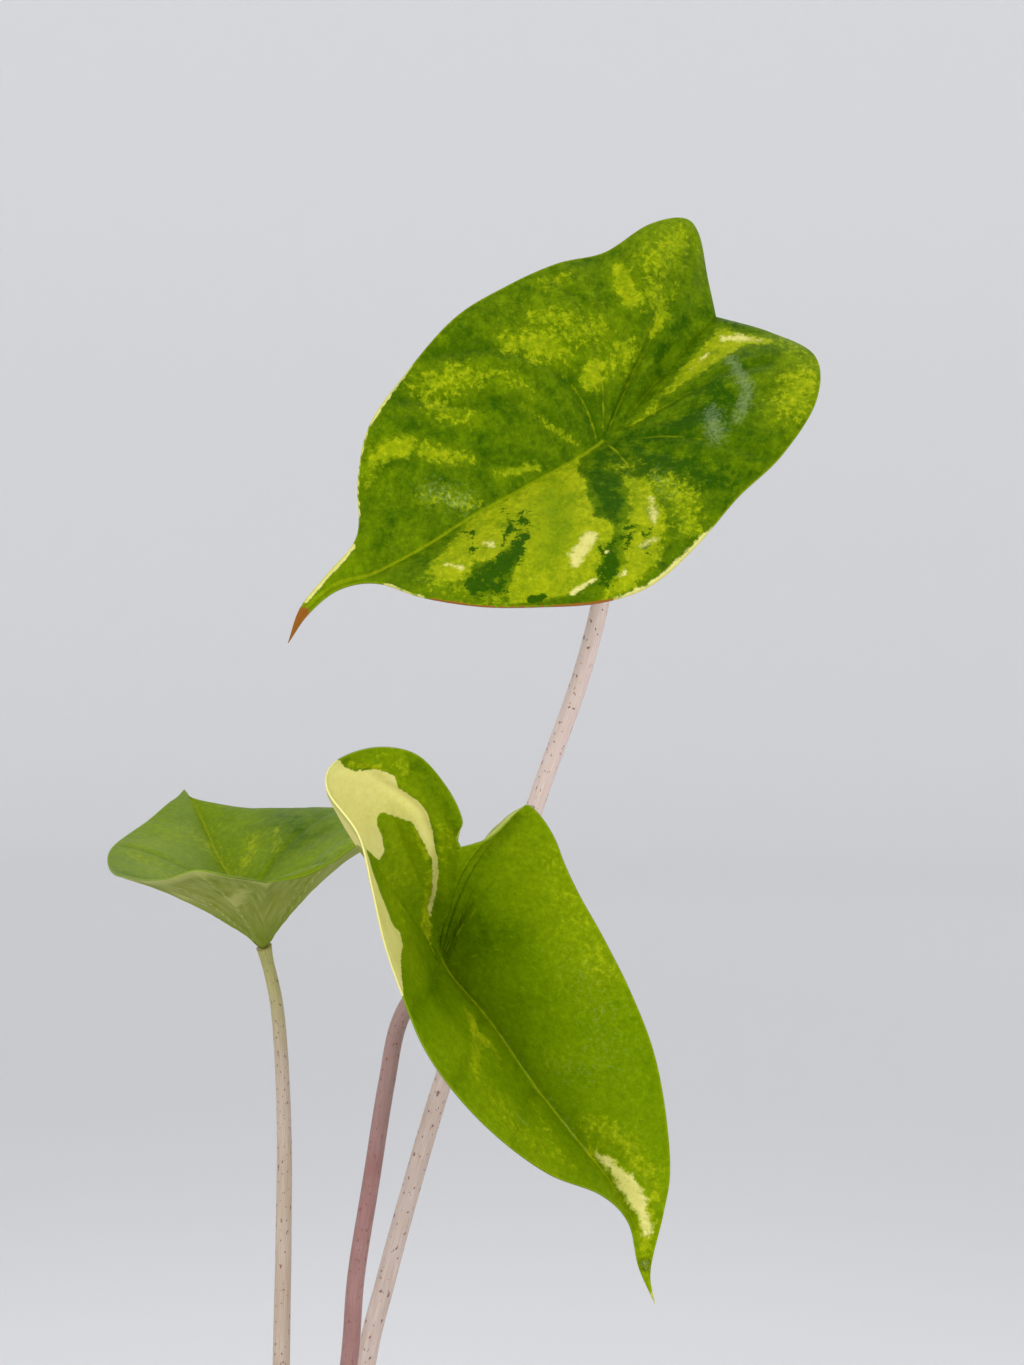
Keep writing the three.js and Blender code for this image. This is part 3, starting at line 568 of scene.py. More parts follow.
def ragged_mask(tree, field, grain, spread, blur=0.05):
    """Mask of a marking: its field broken up by a grain around one half, then cut at one half."""
    parts = {0: grain, 1: spread, 2: field}
    broken = add_node(tree, "ShaderNodeMath", {"operation": "MULTIPLY_ADD"}, parts, 0)
    edge = 0.5 + spread / 2
    return add_node(
        tree, "ShaderNodeMapRange", {"interpolation_type": "SMOOTHSTEP"},
        {"Value": broken, "From Min": edge - blur, "From Max": edge + blur}, 0,
    )


def loose_mask(tree, field, grain, factor=1.0):
    """Mask of a soft marking: its field made uneven by a grain, and still nothing where the field is."""
    uneven = add_node(tree, "ShaderNodeMath", {"operation": "MULTIPLY_ADD"}, {0: grain, 1: 1.2, 2: 0.4}, 0)
    both = add_node(tree, "ShaderNodeMath", {"operation": "MULTIPLY"}, {0: field, 1: uneven}, 0)
    settings = {"operation": "MULTIPLY", "use_clamp": True}
    return add_node(tree, "ShaderNodeMath", settings, {0: both, 1: factor}, 0)


def full_noise(tree, place, width, detail=4, roughness=0.6, low=0.3, high=0.7, stretch=None, unit=1):
    """Noise whose usual range, low to high, is spread from 0 to 1.

    Its grains have a width in mm, on coordinates whose unit stands for so many metres. A stretch makes
    them narrower or longer along each axis.
    """
    if stretch:
        place = add_node(tree, "ShaderNodeMapping", None, {"Vector": place, "Scale": stretch}, 0)
    settings = {"Vector": place, "Scale": unit / (width * MM), "Detail": detail, "Roughness": roughness}
    raw = add_node(tree, "ShaderNodeTexNoise", None, settings, 0)
    return add_node(tree, "ShaderNodeMapRange", None, {"Value": raw, "From Min": low, "From Max": high}, 0)


def blade_masks(tree, fields, lines):
    """A blade's own fields, and masks along its lines from a distance, a half width and a fade in mm."""
    masks = {}
    for name in fields:
        masks[name] = add_node(tree, "ShaderNodeAttribute", {"attribute_name": name}, None, "Fac")
    for name, (distance, width, fade) in lines.items():
        away = add_node(tree, "ShaderNodeAttribute", {"attribute_name": distance}, None, "Fac")
        masks[name] = add_node(
            tree, "ShaderNodeMapRange", {"interpolation_type": "SMOOTHSTEP"},
            {"Value": away, "From Min": width + fade, "From Max": width}, 0,
        )
    return masks


def link_object(name, bm, materials):
    """Turns a bmesh in metres into a smooth object at the origin."""
    mesh = bpy.data.meshes.new(name)
    bm.to_mesh(mesh)
    bm.free()
    made = bpy.data.objects.new(name, mesh)
    bpy.context.scene.collection.objects.link(made)
    for material in materials:
        mesh.materials.append(material)
    mesh.shade_smooth()
    return made


def dress(piece, slot, *nodes):
    """Says that a piece rides on the root and hides the CAD nodes it stands for; its slot is not used."""
    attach(piece, "root")
    if nodes:
        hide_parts(*nodes)


def smooth_curve(points, t):
    """Points at t, from 0 to 1, on the smooth curve that passes through points."""
    points = np.array(points, float)
    knots = np.vstack([2 * points[0] - points[1], points, 2 * points[-1] - points[-2]])
    place = np.clip(t, 0, 1) * (len(points) - 1)
    i = np.minimum(place.astype(int), len(points) - 2)
    f = (place - i)[..., None]
    p0, p1, p2, p3 = (knots[i + k] for k in range(4))
    bend = (2 * p0 - 5 * p1 + 4 * p2 - p3) * f**2 + (3 * p1 - p0 - 3 * p2 + p3) * f**3
    return (2 * p1 + (p2 - p0) * f + bend) / 2


def unit(vector):
    """Vector of length 1 as an array."""
    vector = np.array(vector, float)
    return vector / np.linalg.norm(vector)


def leaf_point(leaf, row, s):
    """Places on a leaf in mm, for arrays of rows and of s from -1 on side 0's rim to 1 on side 1's."""
    rows = leaf["rows"]
    last = len(rows) - 1
    station = np.interp(row, np.arange(last + 1), [line[0] for line in rows])
    axis = np.array(leaf["axis"], float)
    middle = smooth_curve(axis, station / (len(axis) - 1))
    rims = [smooth_curve([line[side + 1] for line in rows], row / last) for side in (0, 1)]
    rim = np.where((s > 0)[..., None], rims[1], rims[0])
    away = np.abs(s)
    swell = 4 * away * (1 - away) * np.linalg.norm(rim - middle, axis=-1)
    pillow = QUILT * np.abs(np.sin(row * np.pi / 2))
    lift = swell * (np.where(s > 0, leaf["arch"][1], leaf["arch"][0]) + pillow)
    tailward = unit(axis[TAIL_ROOT] - axis[JOINT_STATION])
    place = middle + (rim - middle) * away[..., None]
    return place + unit(leaf["up"]) * lift[..., None] - tailward * (swell * leaf["bow"])[..., None]


def nearest(places, points, reach=0.0):
    """Distance from each place to the nearest of points, less what each point reaches."""
    reach = np.broadcast_to(reach, len(points))
    found = np.full(len(places), np.inf)
    for point, own in zip(points, reach):
        found = np.minimum(found, np.linalg.norm(places - point, axis=1) - own)
    return found


# Points to each stretch of a chain of spots, of an area's outline and of a vein.
STEPS_ALONG = {"chain": 10, "area": 8, "vein": 14}


def spread_out(shape, steps):
    """Values between the corners of a shape, steps to each stretch."""
    shape = np.array(shape, float)
    t = np.linspace(0, len(shape) - 1, (len(shape) - 1) * steps + 1)
    return [np.interp(t, np.arange(len(shape)), column) for column in shape.T]


def inside_area(row, s, corners):
    """Whether each (row, s) lies within the corners of an area."""
    within = np.zeros(len(row), bool)
    for (r0, s0), (r1, s1) in zip(corners, corners[1:] + corners[:1]):
        if s0 != s1:
            within ^= ((s0 > s) != (s1 > s)) & (row < (r1 - r0) * (s - s0) / (s1 - s0) + r0)
    return within


def marking_field(leaf, shape, softness, row, s, places):
    """1 well inside a marking, one half on its outline, 0 well outside."""
    if len(shape[0]) == 3:
        rows, sides, radii = spread_out(shape, STEPS_ALONG["chain"])
        depth = -nearest(places, leaf_point(leaf, rows, sides), radii)
    else:
        rows, sides = spread_out(shape + shape[:1], STEPS_ALONG["area"])
        last = len(leaf["rows"]) - 1
        outline = leaf_point(leaf, np.clip(rows, 0, last), np.clip(sides, -1, 1))
        beyond = np.abs(sides) > 1
        depth = np.minimum(nearest(places, outline[~beyond]), FAR)
        depth = np.where(inside_area(row, s, shape), depth, -depth)
    return np.clip(0.5 + depth / (2 * softness), 0, 1)


# Grid of a blade, the share of its width that it is built to, the step of rows for slopes on it, and the
# map's units to a mm away from the midrib.
LEAF_GRID = {"per_row": 16, "lanes": 48, "inset": 0.998, "step": 0.05, "vein_uv": 0.1}
VEIN_UNIT = MM / LEAF_GRID["vein_uv"]
# Of these kinds, shade and light are painted shade and painted light, partly the leaf's own greens, and bloom
# is a painted whitish sheen.
KINDS = ("lime", "yellow", "green", "cream", "dark", "light", "shade", "bloom", "scorch")
# A distance in mm that counts as far, and the mm from the midrib that a station past the joint counts for.
FAR = 50
PAST_JOINT = 20


def leaf_measures(name, row, s, places):
    """Attributes of a blade at its places: fields of its markings and distances in mm to its lines."""
    leaf = LEAVES[name]
    last = len(leaf["rows"]) - 1
    joint = np.array(leaf["axis"][JOINT_STATION], float)
    step = LEAF_GRID["step"]
    ahead = leaf_point(leaf, np.minimum(row + step, last), s)
    behind = leaf_point(leaf, np.maximum(row - step, 0), s)
    per_row = np.linalg.norm(ahead - behind, axis=1) / (2 * step)
    rim = leaf_point(leaf, row, np.where(s > 0, 1.0, -1.0))
    middle = leaf_point(leaf, row, np.zeros_like(s))
    width = np.linalg.norm(rim - middle, axis=1)
    values = {kind: np.zeros(len(row)) for kind in KINDS}
    for kind, strength, softness, shape in MARKINGS[name]:
        field = strength * marking_field(leaf, shape, softness, row, s, places)
        values[kind] = np.maximum(values[kind], field)
    values["groove"] = np.zeros(len(row))
    values["vein"] = np.full(len(row), float(FAR))
    for depth, reach, shape in VEINS[name]:
        away = nearest(places, leaf_point(leaf, *spread_out(shape, STEPS_ALONG["vein"])))
        values["groove"] = np.maximum(values["groove"], depth * np.exp(-((away / reach) ** 2)))
        values["vein"] = np.minimum(values["vein"], away)
    station = np.interp(row, np.arange(last + 1), [line[0] for line in leaf["rows"]])
    beyond = np.clip(station - JOINT_STATION, 0, 1) * PAST_JOINT
    values["midrib"] = np.abs(s) * width + beyond
    values["lobe_rib"] = np.abs(row - RIB_ROW) * per_row
    values["edge"] = (1 - np.abs(s)) * width
    values["joint"] = np.linalg.norm(places - joint, axis=1)
    return values


def broad_normals(bm, cell=2, radius=2.2, batch=1500):
    """Normals of a sheet in mm averaged over a radius, so that its two faces never cross at a tight fold."""
    areas = np.zeros(len(bm.verts))
    for face in bm.faces:
        share = face.calc_area() / len(face.verts)
        for vert in face.verts:
            areas[vert.index] += share
    places = np.array([vert.co for vert in bm.verts])
    normals = np.array([vert.normal for vert in bm.verts]) * areas[:, None]
    cells, where = np.unique(np.floor(places / cell).astype(int), axis=0, return_inverse=True)
    where = where.ravel()
    sums = np.zeros((len(cells), 3))
    centres = np.zeros((len(cells), 3))
    np.add.at(sums, where, normals)
    np.add.at(centres, where, places * areas[:, None])
    total = np.bincount(where, areas, len(cells))
    centres /= np.maximum(total, 1e-9)[:, None]
    broad = np.zeros_like(places)
    for start in range(0, len(places), batch):
        part = places[start:start + batch]
        apart = (part**2).sum(1)[:, None] + (centres**2).sum(1) - 2 * part @ centres.T
        broad[start:start + batch] = np.exp(-apart / radius**2) @ sums
    return broad / np.maximum(np.linalg.norm(broad, axis=1), 1e-12)[:, None]


# Section of a blade in mm: the width over which it thins to its rim, the ribs' half width away from and
# at the joint, how far the veins sink above and below, and (height, waves per mm) of its ripples.
SECTION = {
    "thin_over": 3, "rib_width": 0.6, "rib_at_joint": 1.6, "sink": 1.4, "sink_below": 0.8,
    "ripples": ((0.3, 0.09), (0.14, 0.33)),
}


def leaf_blade(name, materials, settings):
    """Blade from a grid: an upper face sunk at its veins, a lower face with ribs, and a rim between them."""
    leaf = LEAVES[name]
    last = len(leaf["rows"]) - 1
    bm = bmesh.new()
    long, wide = last * LEAF_GRID["per_row"], 2 * LEAF_GRID["lanes"]
    bmesh.ops.create_grid(bm, x_segments=long, y_segments=wide, size=1)
    grid = np.array([vert.co for vert in bm.verts])
    row = (grid[:, 0] + 1) / 2 * last
    s = np.round(grid[:, 1], 6)
    places = leaf_point(leaf, row, s * LEAF_GRID["inset"])
    values = leaf_measures(name, row, s, places)
    layers = {key: bm.verts.layers.float.new(key) for key in values}
    veins = bm.loops.layers.uv.new("veins")
    for index, vert in enumerate(bm.verts):
        for loop in vert.link_loops:
            across_vein = values["midrib"][index] * LEAF_GRID["vein_uv"]
            loop[veins].uv = (math.copysign(across_vein, s[index]), row[index])
        for key, layer in layers.items():
            vert[layer] = values[key][index]
        vert.co = places[index]
    bmesh.ops.remove_doubles(bm, verts=bm.verts, dist=SAME_SPOT)
    bmesh.ops.dissolve_degenerate(bm, edges=bm.edges, dist=SAME_SPOT / 2)
    bm.normal_update()
    bm.verts.index_update()
    across = broad_normals(bm)
    reach = settings.rib_reach / MM
    rims = [edge for edge in bm.edges if edge.is_boundary]
    sheet = bm.verts[:]
    lower = bmesh.ops.duplicate(bm, geom=bm.verts[:] + bm.edges[:] + bm.faces[:])
    twins = lower["vert_map"]
    below = [item for item in lower["geom"] if isinstance(item, bmesh.types.BMFace)]
    bmesh.ops.reverse_faces(bm, faces=below)
    for face in below:
        face.material_index = 1
    for edge in rims:
        first, second = edge.verts
        loop = edge.link_loops[0]
        if loop.vert != first:
            first, second = second, first
        wall = bm.faces.new((second, first, twins[first], twins[second]))
        wall.material_index = 2
        edge.smooth = False
    for vert, normal in zip(sheet, across):
        up = Vector(normal)
        thin = min(1, vert[layers["edge"]] / SECTION["thin_over"])
        fade = max(0, 1 - vert[layers["joint"]] / reach)
        rib_width = SECTION["rib_width"] + SECTION["rib_at_joint"] * fade
        rib_away = min(vert[layers["midrib"]], vert[layers["lobe_rib"]]) / rib_width
        local = (settings.rim_thickness + (settings.thickness - settings.rim_thickness) * thin) / MM
        raised = settings.rib / MM * fade * math.exp(-rib_away**2) * thin
        spot = vert.co.copy()
        ripple = sum(rise * noise.noise(spot * waves) for rise, waves in SECTION["ripples"])
        sink = (SECTION["sink"] * vert[layers["groove"]] - ripple) * thin
        twin = twins[vert]
        vert.co = (spot + up * (local / 2 - sink)) * MM
        twin.co = (spot - up * (local / 2 + raised + sink * SECTION["sink_below"])) * MM
    return link_object(f"leaf_{name}", bm, materials)


# Lines on a blade: what they are measured from, their half width and their fade, in mm.
UPPER_LINES = {
    "midrib line": ("midrib", 0.2, 0.5), "vein line": ("vein", 0.1, 0.4), "near joint": ("joint", 6, 34),
    "hem": ("edge", 0.1, 0.5),
}
LOWER_LINES = {
    "midrib line": ("midrib", 0.8, 1.2), "vein line": ("vein", 0.15, 0.6), "near joint": ("joint", 3, 22),
    "fold": ("midrib", 1.2, 2.4), "hem": ("edge", 1, 7),
}


def upper_face(settings):
    """Living leaf, waxed upper face: a skin over soft green tissue.

    It has a broad soft gloss tinted by the green under it, lets some light through, and shows ragged
    pale patches where the green is missing. Its colour also holds painted shade and painted light from the
    shade and light marks, painted shade in the sunk veins and a painted whitish sheen from the bloom marks.
    """
    material, tree, shader = new_material("variegated leaf, waxed upper face", 0.46)
    shader.inputs["IOR"].default_value = 1.2
    shader.inputs["Specular Tint"].default_value = (0.75, 0.85, 0.12, 1)
    mask = blade_masks(tree, KINDS + ("groove",), UPPER_LINES)
    place = add_node(tree, "ShaderNodeTexCoord", None, None, "Object")
    veins = add_node(tree, "ShaderNodeUVMap", {"uv_map": "veins"}, None, 0)
    streaks = full_noise(tree, veins, 4.545, 6, 0.65, stretch=(0.6, 2.6, 1), unit=VEIN_UNIT)
    clouds = full_noise(tree, place, 13.33)
    patches = full_noise(tree, place, 4.348, 8, 0.74, 0.36, 0.64)
    crumbs = full_noise(tree, place, 1.667, 5, 0.72, 0.34, 0.66)
    flakes = full_noise(tree, place, 0.909, 2, 0.7)
    cells = full_noise(tree, place, 0.5263, 3)
    grain = layered(tree, patches, (0.52, 1, crumbs))
    green = layered(
        tree, settings.shadow,
        (streaks, 1, settings.green), (0.6, 1, settings.green), (clouds, 0.4, settings.light),
        # Painted light and painted shade from the light and shade marks, partly the leaf's own greens.
        (loose_mask(tree, mask["light"], grain), 1, settings.light),
        (loose_mask(tree, mask["shade"], patches), 1, settings.deep),
        # Painted shade in the sunk veins, partly the darker green beside them.
        (mask["groove"], 0.75, settings.deep),
        (ragged_mask(tree, 0.25, crumbs, 0.9, 0.1), 0.12, settings.light),
        (loose_mask(tree, mask["lime"], crumbs, 0.7), 1, settings.light),
    )
    heart = layered(tree, ragged_mask(tree, mask["lime"], grain, 1.05, 0.55), (0.4, 1, streaks))
    marbled = layered(
        tree, settings.light,
        (heart, 1, settings.lime),
        (loose_mask(tree, mask["yellow"], grain, 0.8), 1, settings.yellow),
        (ragged_mask(tree, 0.42, patches, 1, 0.3), 0.8, settings.mid),
        (ragged_mask(tree, 0.3, crumbs, 1, 0.2), 0.45, settings.yellow),
        (loose_mask(tree, mask["green"], grain), 1, settings.mid),
    )
    pale = layered(tree, settings.cream, (clouds, 1, settings.butter))
    along = {0: mask["vein line"], 1: mask["near joint"]}
    thread = add_node(tree, "ShaderNodeMath", {"operation": "MULTIPLY"}, along, 0)
    fine = layered(tree, flakes, (0.5, 1, crumbs))
    tint = layered(
        tree, green,
        (ragged_mask(tree, mask["lime"], grain, 1.05, 0.2), 1, marbled),
        (ragged_mask(tree, mask["dark"], grain, 1.2, 0.12), 1, settings.deep),
        (ragged_mask(tree, mask["cream"], grain, 0.55, 0.16), 1, pale),
        (mask["midrib line"], 0.5, settings.lime), (thread, 0.65, settings.lime),
        (mask["hem"], 0.4, settings.lime),
        (0.22, 1, fine, "OVERLAY"),
        # Painted sheen from the bloom marks.
        (ragged_mask(tree, mask["bloom"], flakes, 0.6, 0.35), 0.3, settings.bloom),
        (ragged_mask(tree, mask["scorch"], patches, 0.3, 0.15), 1, settings.scorch),
    )
    relief = add_node(tree, "ShaderNodeMath", {"operation": "MULTIPLY_ADD"}, {0: crumbs, 1: 0.6, 2: cells}, 0)
    coat(tree, shader, tint, relief, 0.5, 0.06)
    let_light_through(tree, shader, tint, 0.18)
    return material


def lower_face(settings):
    """Living leaf, matt underside: paler and duller than above, with its ribs lighter still."""
    material, tree, shader = new_material("variegated leaf, matt underside", 0.6)
    shader.inputs["IOR"].default_value = 1.2
    shader.inputs["Specular Tint"].default_value = (0.8, 0.85, 0.3, 1)
    mask = blade_masks(tree, ("lime", "cream", "scorch"), LOWER_LINES)
    place = add_node(tree, "ShaderNodeTexCoord", None, None, "Object")
    veins = add_node(tree, "ShaderNodeUVMap", {"uv_map": "veins"}, None, 0)
    clouds = full_noise(tree, place, 11.11, 5)
    streaks = full_noise(tree, veins, 4.545, 5, stretch=(0.5, 2.2, 1), unit=VEIN_UNIT)
    at_joint = {0: mask["fold"], 1: mask["near joint"]}
    fold = add_node(tree, "ShaderNodeMath", {"operation": "MULTIPLY"}, at_joint, 0)
    tint = layered(
        tree, settings.under,
        (clouds, 1, settings.mid), (0.6, 1, settings.under), (streaks, 0.65, settings.under_rib),
        (ragged_mask(tree, mask["lime"], clouds, 0.8, 0.2), 1, settings.under_rib),
        (ragged_mask(tree, mask["cream"], clouds, 0.4, 0.1), 1, settings.cream),
        (mask["midrib line"], 1, settings.under_rib), (mask["vein line"], 1, settings.under_rib),
        (mask["near joint"], 0.55, settings.mid), (fold, 0.8, settings.under_fold),
        (mask["hem"], 0.95, settings.under_rib),
        (ragged_mask(tree, mask["scorch"], clouds, 0.3, 0.15), 1, settings.scorch),
    )
    coat(tree, shader, tint)
    let_light_through(tree, shader, tint, 0.25)
    return material


def clear_rim(settings):
    """Living leaf, clear rim: a thin smooth edge, cream or dried where the blade beside it is."""
    material, tree, shader = new_material("variegated leaf, clear rim", 0.45, 0.3)
    mask = blade_masks(tree, ("cream", "scorch"), {})
    tint = layered(
        tree, settings.mid,
        (ragged_mask(tree, mask["cream"], 0.5, 0.4, 0.2), 1, settings.cream),
        (ragged_mask(tree, mask["scorch"], 0.5, 0.2, 0.2), 1, settings.scorch),
    )
    coat(tree, shader, tint)
    return material


class ALOCASIA_OT_leaf_blades(Operator):
    """Builds the three marbled blades in place of their solids"""

    bl_idname = "alocasia.leaf_blades"
    bl_label = "Leaf Blades"

    def execute(self, context):
        settings = context.scene.alocasia_leaf
        materials = [upper_face(settings), lower_face(settings), clear_rim(settings)]
        for name in LEAVES:
            dress(leaf_blade(name, materials, settings), f"blade_{name}", f"blade_{name}")
        return {"FINISHED"}


# Grid of a stalk, the samples of its route, and how many of them to either side say which way it runs.
STALK_GRID = {"steps": 220, "sides": 36, "samples": 3000, "reach": 12}
# Shares of a stalk's run that level out at the foot, turn to the blade and flare, then in mm the flare, the
# gap under the blade and the mean radius, then the number of flutes and their share of the radius.
STALK_SHAPE = {
    "level": 1 / 30, "turn": 1 / 60, "flare_run": 1 / 28, "flare": 0.5, "blade_gap": 0.9, "mean_radius": 2.3,
    "flutes": 9, "flute": 0.012,
}
# Rows round the joint and the share of the width beside it that say which way a blade faces there.
JOINT_RING = {"rows": np.linspace(6, 12, 13), "side": 0.06}


def joint_normal(leaf):
    """Mean direction of the blade's upper face round its joint."""
    rows = JOINT_RING["rows"]
    sides = np.repeat([-JOINT_RING["side"], JOINT_RING["side"]], len(rows))
    ring = leaf_point(leaf, np.concatenate([rows, rows]), sides) - leaf["axis"][JOINT_STATION]
    normal = np.linalg.svd(ring - ring.mean(0))[2][2]
    return normal if normal @ unit(leaf["up"]) > 0 else -normal


def leaf_stalk(name, material):
    """Stalk as a wrapped grid: round above, opening below into a sheath, and cut under the blade."""
    leaf, stalk = LEAVES[name], STALKS[name]
    joint = np.array(leaf["axis"][JOINT_STATION], float)
    blade = joint_normal(leaf)
    samples, reach = STALK_GRID["samples"], STALK_GRID["reach"]
    route = stalk["route"] + [tuple(joint - blade * STALK_SHAPE["blade_gap"])]
    fine = smooth_curve(route, np.linspace(0, 1, samples + 1))
    run = np.concatenate([[0], np.cumsum(np.linalg.norm(np.diff(fine, axis=0), axis=1))])
    outward = unit([route[0][0], route[0][1], 0])
    foot = CORM["top"] + GAP
    steps, sides = STALK_GRID["steps"], STALK_GRID["sides"]
    radii = smooth_curve([(r, 0) for r in stalk["radii"]], np.linspace(0, 1, steps + 1))[:, 0]
    bm = bmesh.new()
    bmesh.ops.create_grid(bm, x_segments=steps, y_segments=sides, size=1)
    skin = bm.loops.layers.uv.new("skin")
    for vert in bm.verts:
        t = (vert.co.x + 1) / 2
        turn = (vert.co.y + 1) * math.pi
        for loop in vert.link_loops:
            loop[skin].uv = (turn * STALK_SHAPE["mean_radius"], t * run[-1])
        at = min(int(np.searchsorted(run, t * run[-1])), samples)
        centre = fine[at]
        along = unit(fine[min(at + reach, samples)] - fine[max(at - reach, 0)])
        level = max(0, 1 - t / STALK_SHAPE["level"])
        cut = max(0, 1 - (1 - t) / STALK_SHAPE["turn"])
        along = unit(along * (1 - level) * (1 - cut) + np.array([0, 0, 1]) * level + blade * cut)
        across = unit(np.cross(along, outward))
        radial = np.cross(across, along)
        flare = max(0, 1 - (1 - t) / STALK_SHAPE["flare_run"])
        radius = radii[round(t * steps)] + STALK_SHAPE["flare"] * flare**2
        sheath = min(max(1 - (centre[2] - foot) / STALK["sheath_height"], 0), 1)
        sheath = sheath * sheath * (3 - 2 * sheath)
        width = (radius + (STALK["sheath_width"] - radius) * sheath) * math.sin(turn)
        depth = (radius + (STALK["sheath_wall"] - radius) * sheath) * math.cos(turn)
        wrap = sheath * width**2 / (2 * STALK["sheath_wrap"])
        flute = 1 + STALK_SHAPE["flute"] * math.sin(turn * STALK_SHAPE["flutes"])
        place = centre + across * width * flute + radial * (depth * flute - wrap)
        place[2] = max(place[2], foot)
        vert.co = place * MM
    bmesh.ops.remove_doubles(bm, verts=bm.verts, dist=SAME_SPOT * MM)
    ends = [edge for edge in bm.edges if edge.is_boundary]
    bmesh.ops.edgeloop_fill(bm, edges=ends)
    bmesh.ops.recalc_face_normals(bm, faces=bm.faces)
    return link_object(f"stalk_{name}", bm, [material])


def stalk_skin(name, settings, body, top, low, high):
    """Stalk skin: smooth, watery and slightly waxy, with fine lines along it and small brown flecks.

    Its top colour comes in between two heights in mm, and its foot is mauve.
    """
    material, tree, shader = new_material(name, 0.42, 0.35)
    shader.inputs["Subsurface Weight"].default_value = 0.12
    shader.inputs["Subsurface Radius"].default_value = (2 * MM, 1.2 * MM, 0.8 * MM)
    place = add_node(tree, "ShaderNodeTexCoord", None, None, "Object")
    skin = add_node(tree, "ShaderNodeUVMap", {"uv_map": "skin"}, None, 0)
    height = add_node(tree, "ShaderNodeSeparateXYZ", None, {0: place}, "Z")
    shift = full_noise(tree, place, 22.22, 3)
    fine = full_noise(tree, skin, 0.5, stretch=(2.2, 0.05, 1), unit=MM)
    spots = full_noise(tree, skin, 0.8333, 2, 0.5, stretch=(0.8, 0.5, 1), unit=MM)
    ranges = ((height, low * MM, high * MM), (spots, 0.83, 0.93), (height, 110 * MM, 74 * MM))
    climb, fleck, foot = (
        add_node(
            tree, "ShaderNodeMapRange", {"interpolation_type": "SMOOTHSTEP"},
            {"Value": value, "From Min": start, "From Max": end}, 0,
        )
        for value, start, end in ranges
    )
    tint = layered(
        tree, body,
        (shift, 1, layered(tree, body, (0.12, 1, WHITE))), (climb, 1, top), (0.22, 1, fine, "OVERLAY"),
        (fleck, 0.85, settings.fleck), (foot, 0.7, settings.mauve),
    )
    coat(tree, shader, tint, fine, 0.35, 0.08)
    return material


class ALOCASIA_OT_leaf_stalks(Operator):
    """Builds the three leaf stalks with their sheaths in place of their solids"""

    bl_idname = "alocasia.leaf_stalks"
    bl_label = "Leaf Stalks"

    def execute(self, context):
        settings = context.scene.alocasia_stalk
        skins = {
            "top": stalk_skin("leaf stalk, blush skin", settings, settings.blush, settings.pink, 200, 300),
            "front": stalk_skin("leaf stalk, mauve skin", settings, settings.mauve, settings.dusk, 190, 255),
            "back": stalk_skin("leaf stalk, beige skin", settings, settings.beige, settings.fresh, 215, 252),
        }
        for name, skin in skins.items():
            dress(leaf_stalk(name, skin), f"petiole_{name}", f"petiole_{name}")
        return {"FINISHED"}


# Steps round of the turned bodies, and the radius in mm of their rounded edges.
STEPS_ROUND = {"pot": 160, "soil": 144, "stem": 96, "backdrop": 128}
EDGE = 0.5


def spun(profile, steps, corner=0, segments=4):
    """Closed turned body from (radius, height) in mm, its profile's corners rounded first."""
    bm = bmesh.new()
    verts = [bm.verts.new((r * MM, 0, z * MM)) for r, z in profile]
    edges = [bm.edges.new(pair) for pair in zip(verts, verts[1:])]
    if corner:
        bmesh.ops.bevel(
            bm, geom=verts[1:-1], offset=corner * MM, segments=segments, profile=0.5, affect="VERTICES",
            material=-1,
        )
    bmesh.ops.spin(
        bm, geom=bm.verts[:] + bm.edges[:], axis=(0, 0, 1), cent=(0, 0, 0), angle=2 * math.pi, steps=steps,
        use_merge=True,
    )
    bmesh.ops.remove_doubles(bm, verts=bm.verts, dist=SAME_SPOT / 2 * MM)
    bmesh.ops.recalc_face_normals(bm, faces=bm.faces)
    return bm


def pot_inner_radius(z):
    """Inner radius of the pot's wall at a height, in mm."""
    under_band = POT["rim_radius"] - POT["band_step"]
    return POT["base_radius"] + (under_band - POT["base_radius"]) * z / POT["height"] - POT["wall"]


def pot_profile():
    """Outline of the pot's wall and floor, from the middle of its underside round to that of its floor."""
    height, edge, lip, cove, floor = (POT[key] for key in ("height", "edge", "lip", "cove", "floor"))
    band_foot = height - POT["band"]
    under_band = pot_inner_radius(band_foot) + POT["wall"]
    return [
        (0, 0), (POT["base_radius"] - edge, 0), (POT["base_radius"], edge), (under_band, band_foot),
        (under_band + POT["band_step"], band_foot + edge), (POT["rim_radius"], height - lip),
        (POT["rim_radius"] - lip / 3, height - lip / 3), (POT["rim_radius"] - lip, height),
        (pot_inner_radius(height) + lip / 2, height - lip / 4), (pot_inner_radius(height), height - lip),
        (pot_inner_radius(floor + cove), floor + cove), (pot_inner_radius(floor) - cove, floor), (0, floor),
    ]


